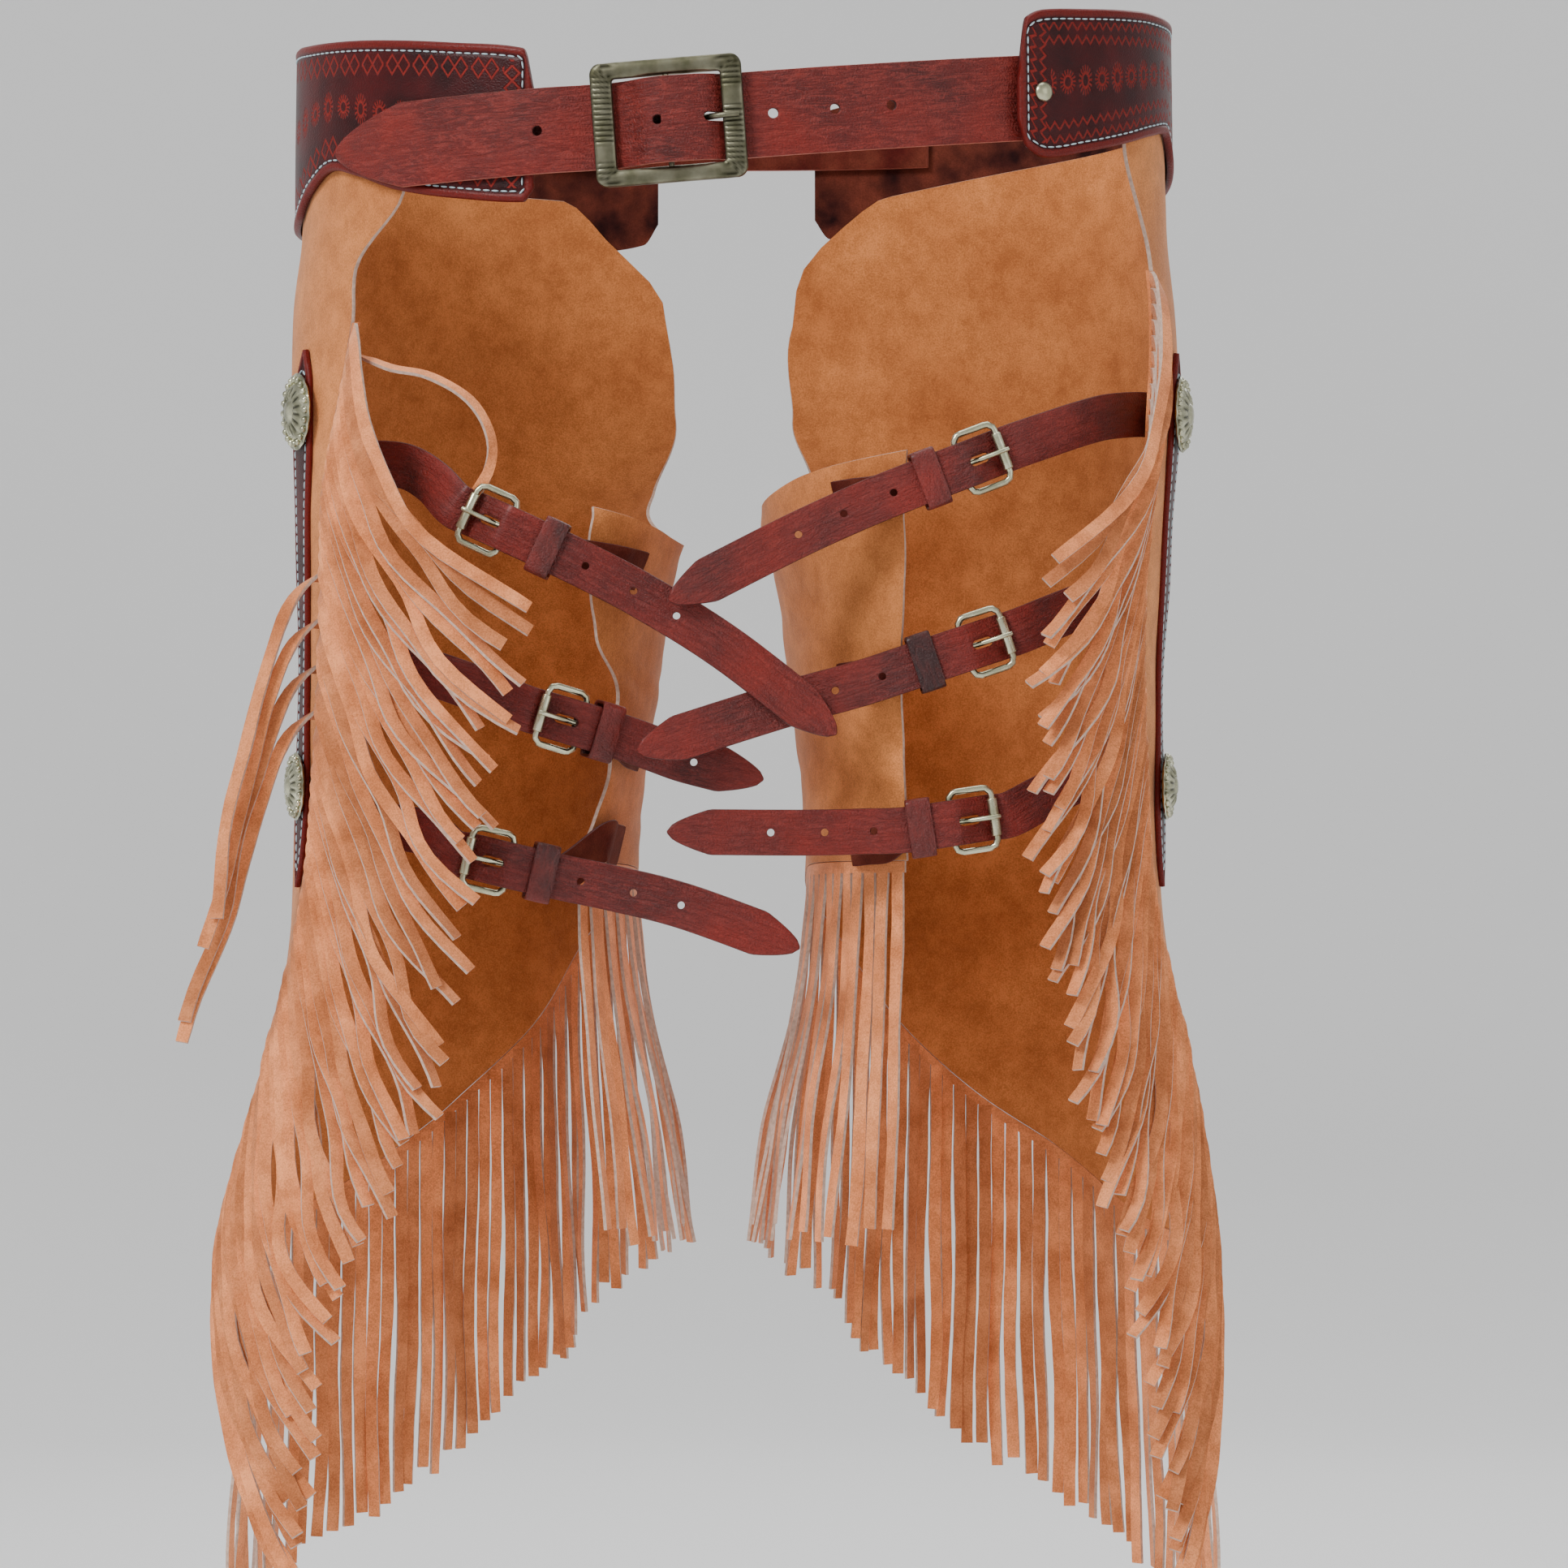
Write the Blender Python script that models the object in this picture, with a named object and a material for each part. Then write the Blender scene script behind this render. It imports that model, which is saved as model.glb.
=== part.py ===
"""Fringed leather chaps with their own belt, shown as worn, with nobody inside.

Metres, +Z up. -Y is the wearer's back and +Y the front. The origin is the centre of the waist loop.
Lengths below are in millimetres and angles in degrees, and both are turned into metres at the end.
A leg's angle runs from 0 at the outer side through 90 at the front to 180 on the inner side.
"""

import math

import bmesh
import bpy
from mathutils import Vector

MM = 0.001
UP = Vector((0.0, 0.0, 1.0))

# Leather thicknesses and the gap kept between pieces.
GAP = 0.4
SUEDE = 2.0
YOKE_LEATHER = 2.8
BELT_LEATHER = 3.0
STRAP_LEATHER = 2.6
SHORT_STRAP_LEATHER = 1.7
STRAND_LEATHER = 1.4

# Waist loop, as half-axes of an ellipse.
WAIST_HALF_WIDTH = 196.0
WAIST_HALF_DEPTH = 125.0

# Form each leg's leather follows: height, centre from the middle, half-width, half-depth.
FORM = {
    "left": (
        (60, 0, 196, 125),
        (-30, 0, 197, 126),
        (-70, 14, 187, 127),
        (-115, 56, 146, 120),
        (-170, 110, 89, 106),
        (-250, 118, 80, 99),
        (-330, 124, 76, 93),
        (-420, 130, 82, 93),
        (-510, 138, 90, 95),
        (-680, 130, 84, 94),
    ),
    "right": (
        (60, 0, 196, 125),
        (-30, 0, 197, 126),
        (-70, 14, 187, 127),
        (-115, 56, 146, 120),
        (-165, 105, 93, 106),
        (-250, 111, 83, 99),
        (-330, 114, 80, 93),
        (-420, 119, 87, 93),
        (-510, 123, 91, 95),
        (-680, 124, 90, 95),
    ),
}
SIGN = {"left": -1.0, "right": 1.0}

# Outer back edge of a leg panel: height, angle.
OUTER_EDGE = {
    "left": (
        (0, -44), (-27, -42), (-60, -33), (-85, -35), (-200, -33), (-330, -27), (-420, -14), (-520, -4),
    ),
    "right": (
        (20, -27), (0, -27), (-50, -19), (-95, -22), (-140, -27),
        (-200, -30), (-330, -24), (-420, -14), (-520, -6),
    ),
}
# Inner back edge of a leg panel: height, angle.
INNER_EDGE = {
    "left": ((-140, 241), (-168, 241), (-225, 233), (-255, 218), (-281, 218), (-326, 231)),
    "right": ((-140, 253), (-170, 252), (-250, 246), (-330, 245)),
}
# Top and hem of a leg panel across its width: share from inner to outer edge, top, hem.
TOP_AND_HEM = {
    "left": (
        (0.0, -168, -326),
        (0.1, -176, -327),
        (0.2, -181, -330),
        (0.3, -178, -346),
        (0.42, -152, -385),
        (0.5, -120, -412),
        (0.57, -72, -436),
        (0.62, -10, -452),
        (0.8, -6, -492),
        (1.0, -4, -512),
    ),
    "right": (
        (0.0, -143, -325),
        (0.12, -152, -326),
        (0.26, -163, -331),
        (0.35, -163, -350),
        (0.46, -148, -396),
        (0.545, -116, -424),
        (0.61, -72, -444),
        (0.66, -8, -457),
        (0.82, 8, -494),
        (1.0, 14, -512),
    ),
}
# How far the thigh straps draw the inner back edge out.
PULLED = {"left": 9.0, "right": 3.0}
PANEL_COLUMNS = 20
PANEL_ROWS = 13

# Yokes: angle, top, bottom. They lie outside the panel and meet the belt.
YOKE = {
    "left": (
        (-64, 15, -28),
        (-62.5, 34, -34),
        (-52, 38, -31),
        (-42, 41, -26),
        (-33, 43, -18),
        (-26, 44, -14),
        (-17, 45, -22),
        (-8, 46, -33),
        (2, 46, -38),
        (25, 44, -40),
        (50, 40, -38),
        (70, 37, -34),
        (77, 34, -30),
        (79, 24, -20),
    ),
    "right": (
        (-50.5, 22, 4),
        (-49, 50, -8),
        (-46, 54, -12),
        (-38, 56, -8),
        (-28, 58, -2),
        (-20, 59, 3),
        (-12, 59, 6),
        (-4, 58, -6),
        (5, 56, -16),
        (25, 50, -26),
        (50, 44, -30),
        (70, 39, -30),
        (77, 35, -27),
        (79, 26, -18),
    ),
}
YOKE_OUT = SUEDE + 0.8

# Belt: its middle line falls from the right hip to the left.
BELT_WIDTH = 37.5
BUCKLE_X = -27.0
BUCKLE_LENGTH = 67.0
BUCKLE_HEIGHT = 54.5
BUCKLE_SIDE_BAR = 9.5
BUCKLE_TOP_BAR = 7.2
BUCKLE_THICK = 3.4
BUCKLE_OUT = 7.2
BAR_RADIUS = 1.3
# Holed strap, right to left: across, outward shift, half-width as a share.
BELT_RUN = (
    (150, -1.6, 1.0),
    (126, -1.6, 1.0),
    (95, -0.6, 1.0),
    (60, 1.4, 1.0),
    (28, 3.3, 1.0),
    (6, 3.4, 1.0),
    (-3, 4.0, 1.0),
    (-12, 8.0, 1.0),
    (-20, 12.3, 1.0),
    (-28, 13.2, 1.0),
    (-35, 11.6, 1.0),
    (-43, 6.2, 1.0),
    (-51, 3.6, 1.0),
    (-62, 4.2, 1.0),
    (-76, 7.4, 1.0),
    (-84, 8.4, 1.0),
    (-100, 8.6, 1.0),
    (-118, 8.8, 1.0),
    (-136, 9.0, 1.0),
    (-150, 9.2, 0.86),
    (-161, 9.2, 0.55),
    (-169, 9.2, 0.1),
)
BELT_HOLES = (-83, 18, 45, 70)
# Buckle's own strap, left to right and round the bar: across, outward shift.
BUCKLE_RUN = (
    (-112, -2.4),
    (-94, -2.2),
    (-80, -0.6),
    (-62, -0.6),
    (-52, -0.4),
    (-42, 0.6),
    (-35, 3.0),
    (-30, 4.3),
    (-26.5, 4.5),
    (-24.6, 5.7),
    (-24.1, 7.2),
    (-24.6, 8.8),
    (-26.5, 9.9),
    (-30, 10.2),
)
BUCKLE_LEATHER = 1.8

# Thigh straps: points from the outer edge to the tip, as across, depth, height.
STRAP_WIDTH = 20.0
KEEPER_WIDTH = 11.0
THIGH_STRAPS = {
    "left_upper": ((-143, -84, -150), (-108.5, -106, -174), (-81.6, -107, -186.5), (-41, -106, -207),
                   (-1, -109, -232), (46, -114, -269)),
    "left_middle": ((-140, -84, -240), (-76.2, -95, -262), (-58.2, -87, -267.5), (-40, -86, -273.5),
                    (-22, -88, -280), (13.7, -92, -289)),
    "left_lower": ((-140, -80, -312), (-108.5, -96, -325), (-85.2, -92, -330.5), (-55, -92, -337),
                   (-21, -95, -345.5), (29.8, -100, -364)),
    "right_upper": ((162, -83, -128), (110.7, -111, -147), (87.3, -113, -156), (55, -112.5, -169),
                    (22.6, -113, -184), (-27.7, -117, -210)),
    "right_middle": ((160, -76, -210), (112.5, -103, -228), (85.5, -104, -237), (55, -104, -247),
                     (20.8, -104, -256.5), (-42, -106, -276.5)),
    "right_lower": ((160, -72, -287), (107.1, -98, -307), (83.7, -98, -310.5), (60, -98, -312),
                    (32.7, -99, -312.6), (-28.8, -103, -312.2)),
}
# How far under the panel each strap's sewn end lies, with the panel's curve.
STRAP_SEAT = {
    "left_upper": 2.8,
    "left_middle": 1.5,
    "left_lower": 2.4,
    "right_upper": 2.3,
    "right_middle": 1.8,
    "right_lower": 1.4,
}
FRAME_LENGTH = 19.0
FRAME_HEIGHT = 30.0
FRAME_WIRE = 1.5

# Fringe.
STRAND_WIDTH = 5.4
STRAND_LENGTH = 168.0
OUTER_STRANDS = 62
HEM_STRANDS = 58
STRIP_WIDTH = 5.0
OUTER_FRINGE_TOP = {"left": -84.0, "right": -58.0}
FRINGE_SHARES = (0.07, 0.2, 0.5, 1.0)
HEM_SHARES = (0.12, 0.45, 1.0)

# How the outer fringe falls: share down the edge, slant, growth in depth, turn of the face.
FAN = {
    "left": (
        (0.0, 0.58, 0.24, 30),
        (0.12, 0.48, 0.20, 32),
        (0.3, 0.46, 0.16, 34),
        (0.5, 0.46, 0.13, 36),
        (0.8, 0.42, 0.13, 34),
        (1.0, 0.42, 0.17, 36),
    ),
    "right": (
        (0.0, 0.50, 0.24, 34),
        (0.12, 0.42, 0.20, 38),
        (0.3, 0.33, 0.16, 42),
        (0.7, 0.33, 0.14, 44),
        (1.0, 0.33, 0.13, 44),
    ),
}
# Strands that stand off outwards: first, last, every how many.
STAND_OFF = {"left": (16, 26, 3), "right": (0, -1, 1)}
STAND_OFF_SLOPE = 0.27


def between(table, column, key):
    """Smooth value of one column of a table whose first column rises or falls, at `key`."""
    rows = sorted(table)
    keys = [row[0] for row in rows]
    values = [row[column] for row in rows]
    if key <= keys[0]:
        return values[0]
    if key >= keys[-1]:
        return values[-1]
    i = max(n for n in range(len(keys) - 1) if keys[n] <= key)
    step = keys[i + 1] - keys[i]
    slope = (values[i + 1] - values[i]) / step
    before = (values[i] - values[i - 1]) / (keys[i] - keys[i - 1]) if i else slope
    after = (values[i + 2] - values[i + 1]) / (keys[i + 2] - keys[i + 1]) if i + 2 < len(keys) else slope
    start = 0.0 if before * slope <= 0 else 2 * before * slope / (before + slope)
    end = 0.0 if after * slope <= 0 else 2 * after * slope / (after + slope)
    t = (key - keys[i]) / step
    return (
        values[i] * (2 * t**3 - 3 * t**2 + 1)
        + start * step * (t**3 - 2 * t**2 + t)
        + values[i + 1] * (3 * t**2 - 2 * t**3)
        + end * step * (t**3 - t**2)
    )


def ease(low, high, value):
    """0 below `low`, 1 above `high`, smooth between."""
    t = min(max((value - low) / (high - low), 0.0), 1.0)
    return t * t * (3 - 2 * t)


def form_height(angle, height):
    """Height whose ring applies: the inner side keeps the thigh's ring right up to its top edge."""
    if height <= -172:
        return height
    return height - (height + 172) * ease(125, 170, angle)


def outward(side, angle, height):
    """Unit vector away from the leg, level with the ground."""
    ring = form_height(angle, height)
    half_width = between(FORM[side], 2, ring)
    half_depth = between(FORM[side], 3, ring)
    turn = math.radians(angle)
    return Vector((SIGN[side] * half_depth * math.cos(turn), half_width * math.sin(turn), 0)).normalized()


def skin_plain(side, angle, height, out):
    """Point off a leg's form without its folds, for what hangs clear of the panel."""
    turn = math.radians(angle)
    ring = form_height(angle, height)
    x = between(FORM[side], 1, ring) + between(FORM[side], 2, ring) * math.cos(turn)
    y = between(FORM[side], 3, ring) * math.sin(turn)
    return Vector((SIGN[side] * x, y, height)) + outward(side, angle, height) * out


def skin(side, angle, height, out=0.0):
    """Point of a leg panel's inner face, with its folds, moved out by `out`."""
    low = ease(-190, -470, height) * ease(-20, 25, angle) * (1 - ease(165, 205, angle))
    fold = low * 5.0 * math.sin(math.radians(angle * 4.2) + height * 0.012 + SIGN[side])
    crease = 1.6 * math.sin(height * 0.055 + angle * 0.05) * ease(-150, -210, height) * ease(200, 150, angle)
    crease *= ease(-25, 10, angle)
    pulled = PULLED[side] * ease(200, 242, angle)
    return skin_plain(side, angle, height, out + fold + crease + pulled)


def waist(x, height, out, back=True):
    """Point of the waist loop at `x` across, on the back or the front half."""
    x = min(max(x, -WAIST_HALF_WIDTH), WAIST_HALF_WIDTH)
    y = WAIST_HALF_DEPTH * math.sqrt(1 - (x / WAIST_HALF_WIDTH) ** 2) * (-1 if back else 1)
    away = Vector((x / WAIST_HALF_WIDTH**2, y / WAIST_HALF_DEPTH**2, 0)).normalized()
    return Vector((x, y, height)) + away * out, away


def material(name, colour, rough, metal):
    made = bpy.data.materials.new(name)
    made.use_nodes = True
    shader = made.node_tree.nodes["Principled BSDF"]
    shader.inputs["Base Color"].default_value = (*colour, 1)
    shader.inputs["Roughness"].default_value = rough
    shader.inputs["Metallic"].default_value = metal
    return made


LOOKS = {
    "suede": ((0.60, 0.29, 0.13), 0.95, 0.0),
    "fringe": ((0.72, 0.33, 0.18), 0.92, 0.0),
    "yoke": ((0.055, 0.008, 0.009), 0.45, 0.0),
    "belt": ((0.22, 0.028, 0.018), 0.5, 0.0),
    "keeper": ((0.20, 0.02, 0.015), 0.45, 0.0),
    "nickel": ((0.62, 0.60, 0.50), 0.25, 1.0),
    "pewter": ((0.34, 0.31, 0.24), 0.35, 1.0),
    "concho": ((0.66, 0.64, 0.50), 0.25, 1.0),
}


def solid(name, points, faces, look, smooth=True):
    """One closed piece from points in millimetres, its faces turned outwards."""
    mesh = bpy.data.meshes.new(name)
    mesh.from_pydata([tuple(p * MM) for p in points], [], faces)
    shell = bmesh.new()
    shell.from_mesh(mesh)
    bmesh.ops.recalc_face_normals(shell, faces=shell.faces)
    shell.to_mesh(mesh)
    shell.free()
    mesh.materials.append(material(f"{name}_{look}", *LOOKS[look]))
    if smooth:
        mesh.polygons.foreach_set("use_smooth", [True] * len(mesh.polygons))
        mesh.update()
    made = bpy.data.objects.new(name, mesh)
    bpy.context.scene.collection.objects.link(made)
    return made


def wall(inner, outer):
    """Points and faces of a closed wall between two equal grids of points."""
    rows = len(inner)
    columns = len(inner[0])
    points = [p for row in inner for p in row] + [p for row in outer for p in row]
    shift = rows * columns
    faces = []
    for r in range(rows - 1):
        for c in range(columns - 1):
            a = r * columns + c
            quad = (a, a + 1, a + columns + 1, a + columns)
            faces.append(quad)
            faces.append(tuple(n + shift for n in reversed(quad)))
    rim = [c for c in range(columns)]
    rim += [r * columns + columns - 1 for r in range(1, rows)]
    rim += [(rows - 1) * columns + c for c in range(columns - 2, -1, -1)]
    rim += [r * columns for r in range(rows - 2, 0, -1)]
    for n, here in enumerate(rim):
        following = rim[(n + 1) % len(rim)]
        faces.append((following, here, here + shift, following + shift))
    return points, faces


def swept(sections, closed=False):
    """Points and faces of a bar through equal rings of points."""
    sides = len(sections[0])
    points = [p for ring in sections for p in ring]
    faces = []
    last = len(sections) if closed else len(sections) - 1
    for n in range(last):
        a = n * sides
        b = (n + 1) % len(sections) * sides
        for k in range(sides):
            m = (k + 1) % sides
            faces.append((a + k, a + m, b + m, b + k))
    if not closed:
        faces.append(tuple(reversed(range(sides))))
        faces.append(tuple(range(len(points) - sides, len(points))))
    return points, faces


def course(points, step):
    """Evenly spaced points on a smooth curve through the given ones."""
    fine = []
    for n in range(len(points) - 1):
        p0 = points[max(n - 1, 0)]
        p1 = points[n]
        p2 = points[n + 1]
        p3 = points[min(n + 2, len(points) - 1)]
        for k in range(12):
            t = k / 12
            fine.append(
                0.5 * (2 * p1 + (p2 - p0) * t + (2 * p0 - 5 * p1 + 4 * p2 - p3) * t * t
                       + (3 * p1 - p0 - 3 * p2 + p3) * t**3)
            )
    fine.append(points[-1])
    gone = [0.0]
    for a, b in zip(fine, fine[1:]):
        gone.append(gone[-1] + (b - a).length)
    count = max(int(round(gone[-1] / step)), 1)
    out = []
    n = 0
    for k in range(count + 1):
        want = gone[-1] * k / count
        while n < len(fine) - 2 and gone[n + 1] < want:
            n += 1
        span = gone[n + 1] - gone[n]
        out.append(fine[n].lerp(fine[n + 1], (want - gone[n]) / span if span else 0))
    return out


def ribbon_frames(points, away):
    """Tangent, width and outward directions along a strap; `away` gives the outward hint at a point."""
    frames = []
    for n, p in enumerate(points):
        along = (points[min(n + 1, len(points) - 1)] - points[max(n - 1, 0)]).normalized()
        out = away(p)
        out = (out - along * out.dot(along)).normalized()
        frames.append((along, out.cross(along).normalized(), out))
    return frames


def ribbon(points, frames, halves, thick):
    """Flat strap as rings of four points."""
    rings = []
    for p, (_along, wide, out), half in zip(points, frames, halves):
        rings.append([
            p + wide * half - out * thick / 2,
            p + wide * half + out * thick / 2,
            p - wide * half + out * thick / 2,
            p - wide * half - out * thick / 2,
        ])
    return swept(rings)


def rod(points, radius, sides, closed=False):
    """Round bar through points, with a steady turn."""
    rings = []
    total = len(points)
    hint = Vector((0.13, -0.97, 0.2)).normalized()
    for n, p in enumerate(points):
        ahead = points[(n + 1) % total] if closed else points[min(n + 1, total - 1)]
        behind = points[n - 1] if closed else points[max(n - 1, 0)]
        along = (ahead - behind).normalized()
        side = (hint - along * hint.dot(along)).normalized()
        other = along.cross(side)
        turns = [2 * math.pi * k / sides for k in range(sides)]
        rings.append([p + (side * math.cos(turn) + other * math.sin(turn)) * radius for turn in turns])
    return swept(rings, closed)


def disc(centre, facing, radius, profile, sides):
    """Round domed piece: profile rows are share of radius and rise along `facing`."""
    side = facing.cross(UP).normalized()
    other = facing.cross(side)
    turns = [2 * math.pi * k / sides for k in range(sides)]
    rows = []
    for share, rise in profile:
        middle = centre + facing * rise
        reach = radius * share
        rows.append([middle + (side * math.cos(turn) + other * math.sin(turn)) * reach for turn in turns])
    return swept(rows)


def cut(target, cutters):
    """Takes the cutters' shapes out of the target and removes them."""
    for cutter in cutters:
        cutter.hide_render = True
        cutter.display_type = "WIRE"
        change = target.modifiers.new("hole", "BOOLEAN")
        change.operation = "DIFFERENCE"
        change.solver = "EXACT"
        change.object = cutter
    graph = bpy.context.evaluated_depsgraph_get()
    done = bpy.data.meshes.new_from_object(target.evaluated_get(graph))
    target.modifiers.clear()
    target.data = done
    for cutter in cutters:
        bpy.data.objects.remove(cutter)


def punch(centre, facing, radius, stretch=0.0, along=None, sides=6, depth=9.0):
    """Cutter for a hole through leather, drawn out lengthways by `stretch`."""
    run = along.normalized() if along else facing.cross(UP).normalized()
    other = facing.cross(run)
    rows = []
    for rise in (-depth, depth):
        row = []
        for k in range(sides):
            turn = 2 * math.pi * (k + 0.5) / sides
            shift = math.copysign(stretch / 2, math.cos(turn))
            across = run * (math.cos(turn) * radius + shift) + other * math.sin(turn) * radius
            row.append(centre + facing * rise + across)
        rows.append(row)
    return solid("cutter", *swept(rows), "belt", smooth=False)


def panel_angle(side, share, height):
    """Angle across a panel: evenly spread from the inner back edge to the outer back edge."""
    inner = between(INNER_EDGE[side], 1, height)
    outer = between(OUTER_EDGE[side], 1, height)
    return inner + (outer - inner) * share


def panel_point(side, share, rise, out):
    """Point of a leg panel: share across from the inner edge, rise from hem to top."""
    top = between(TOP_AND_HEM[side], 1, share)
    hem = between(TOP_AND_HEM[side], 2, share)
    height = hem + (top - hem) * rise
    return skin(side, panel_angle(side, share, height), height, out)


def make_panel(side):
    inner = []
    outer = []
    for r in range(PANEL_ROWS + 1):
        inner.append([])
        outer.append([])
        for c in range(PANEL_COLUMNS + 1):
            inner[r].append(panel_point(side, c / PANEL_COLUMNS, r / PANEL_ROWS, 0.0))
            outer[r].append(panel_point(side, c / PANEL_COLUMNS, r / PANEL_ROWS, SUEDE))
    solid(f"leg_panel_{side}", *wall(inner, outer), "suede")


def make_yoke(side):
    low = YOKE[side][0][0]
    high = YOKE[side][-1][0]
    angles = [low, low + 1.5] + [low + 4 + (high - low - 8) * k / 17 for k in range(18)] + [high - 1.5, high]
    rises = (0.0, 0.1, 0.9, 1.0)
    inner = []
    outer = []
    for rise in rises:
        inner.append([])
        outer.append([])
        for angle in angles:
            top = between(YOKE[side], 1, angle)
            bottom = between(YOKE[side], 2, angle)
            height = bottom + (top - bottom) * rise
            inner[-1].append(skin_plain(side, angle, height, YOKE_OUT))
            outer[-1].append(skin_plain(side, angle, height, YOKE_OUT + YOKE_LEATHER))
    return solid(f"yoke_{side}", *wall(inner, outer), "yoke")


def belt_height(x):
    return 2.2 + 0.0785 * x + 0.00013 * x * x


def make_belt():
    points = []
    halves = []
    for n in range(len(BELT_RUN)):
        x, out, share = BELT_RUN[n]
        points.append(waist(x, belt_height(x), out)[0])
        halves.append(BELT_WIDTH / 2 * share)
    frames = ribbon_frames(points, lambda p: waist(p.x, 0, 0)[1])
    belt = solid("belt_strap", *ribbon(points, frames, halves, BELT_LEATHER), "belt", smooth=False)
    cutters = []
    for x in BELT_HOLES:
        out = between([(row[0], row[1]) for row in BELT_RUN], 1, x)
        centre, away = waist(x, belt_height(x), out)
        cutters.append(punch(centre, away, 2.2))
    centre, away = waist(-31, belt_height(-31), 12.0)
    cutters.append(punch(centre, away, 2.2, depth=2.6))
    centre, away = waist(-11.8, belt_height(-11.8), 7.2)
    cutters.append(punch(centre, away, 2.5, stretch=10.0, sides=8, depth=8.0))
    cut(belt, cutters)


def make_buckle():
    """Rectangular frame with a centre bar and a prong; the prong and bar are one piece with the frame."""
    centre, away = waist(BUCKLE_X, belt_height(BUCKLE_X), BUCKLE_OUT)
    across = UP.cross(away).normalized()
    if across.x < 0:
        across = -across
    tilt = math.atan2(belt_height(0) - belt_height(-54), 54)
    run = across * math.cos(tilt) + UP * math.sin(tilt)
    rise = away.cross(run)
    if rise.z < 0:
        rise = -rise
    rows = []
    length = BUCKLE_LENGTH / 2
    height = BUCKLE_HEIGHT / 2
    corner = 5.0
    outline = []
    for sx, sz in ((1, 1), (-1, 1), (-1, -1), (1, -1)):
        for k in range(3):
            turn = math.radians(45 * k)
            dx = math.cos(turn)
            dz = math.sin(turn)
            if sx * sz < 0:
                dx, dz = dz, dx
            outline.append((
                sx * (length - corner + corner * dx),
                sz * (height - corner + corner * dz),
                sx * (length - BUCKLE_SIDE_BAR - 1.2 + 1.2 * dx),
                sz * (height - BUCKLE_TOP_BAR - 1.2 + 1.2 * dz),
            ))
    for x, z, inner_x, inner_z in outline:
        half = BUCKLE_THICK / 2
        outer = centre + run * x + rise * z
        inner = centre + run * inner_x + rise * inner_z
        mid = outer.lerp(inner, 0.5)
        rows.append([
            outer - away * half,
            outer + away * half * 0.5,
            mid + away * half * 1.2,
            inner + away * half * 0.5,
            inner - away * half,
        ])
    frame = solid("belt_buckle", *swept(rows, closed=True), "pewter")
    reach = height - BUCKLE_TOP_BAR * 0.5
    bar_points = [centre - rise * reach, centre + rise * reach]
    crossbar = solid("crossbar", *rod(bar_points, BAR_RADIUS, 8), "pewter")
    tip = centre + run * 30.5 + away * (BUCKLE_THICK * 0.6 + 1.5)
    prong_points = [
        centre + run * 0.4,
        centre + run * 12.5,
        centre + run * 18.5 + away * 2.7,
        centre + run * 25 + away * (BUCKLE_THICK * 0.6 + 1.7),
        tip,
    ]
    prong = solid("prong", *rod(prong_points, 1.5, 6), "pewter")
    join(frame, (crossbar, prong))
    own = []
    for x, out in BUCKLE_RUN:
        own.append(waist(x, belt_height(x), out)[0])
    line = []
    for n, p in enumerate(own):
        along = (own[min(n + 1, len(own) - 1)] - own[max(n - 1, 0)]).normalized()
        wide = (rise - along * rise.dot(along)).normalized()
        line.append((along, wide, along.cross(wide).normalized()))
    own_strap = solid(
        "buckle_strap", *ribbon(own, line, [BELT_WIDTH / 2 - 4.5] * len(own), BUCKLE_LEATHER), "belt"
    )
    slot_centre = centre + run * 3 + away * 1.5
    cut(own_strap, [punch(slot_centre, away, 2.9, stretch=9.0, along=run, sides=8, depth=4.0)])


def join(target, others):
    """Welds other solids into the target as one closed piece."""
    for other in others:
        other.hide_render = True
        other.display_type = "WIRE"
        change = target.modifiers.new("weld", "BOOLEAN")
        change.operation = "UNION"
        change.solver = "EXACT"
        change.object = other
    graph = bpy.context.evaluated_depsgraph_get()
    done = bpy.data.meshes.new_from_object(target.evaluated_get(graph))
    target.modifiers.clear()
    target.data = done
    for other in others:
        bpy.data.objects.remove(other)


def leg_away(side):
    def away(p):
        centre = between(FORM[side], 1, p.z) * SIGN[side]
        out = Vector((p.x - centre, p.y, 0))
        if p.x * SIGN[side] < centre * SIGN[side]:
            out.x *= 0.12
        return out.normalized()
    return away


def strap_points(key):
    """Centre line of a thigh strap's holed tail, from inside the outer edge to the tip."""
    side = key.split("_")[0]
    marks = [Vector(p) for p in THIGH_STRAPS[key]]
    start = marks[0].z
    edge = between(OUTER_EDGE[side], 1, start)
    under = -STRAP_SEAT[key] - STRAP_LEATHER / 2
    first = skin(side, edge + 7, start + 5, under)
    second = skin(side, edge - 3, start + 4, under)
    return [first, second] + marks


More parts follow.
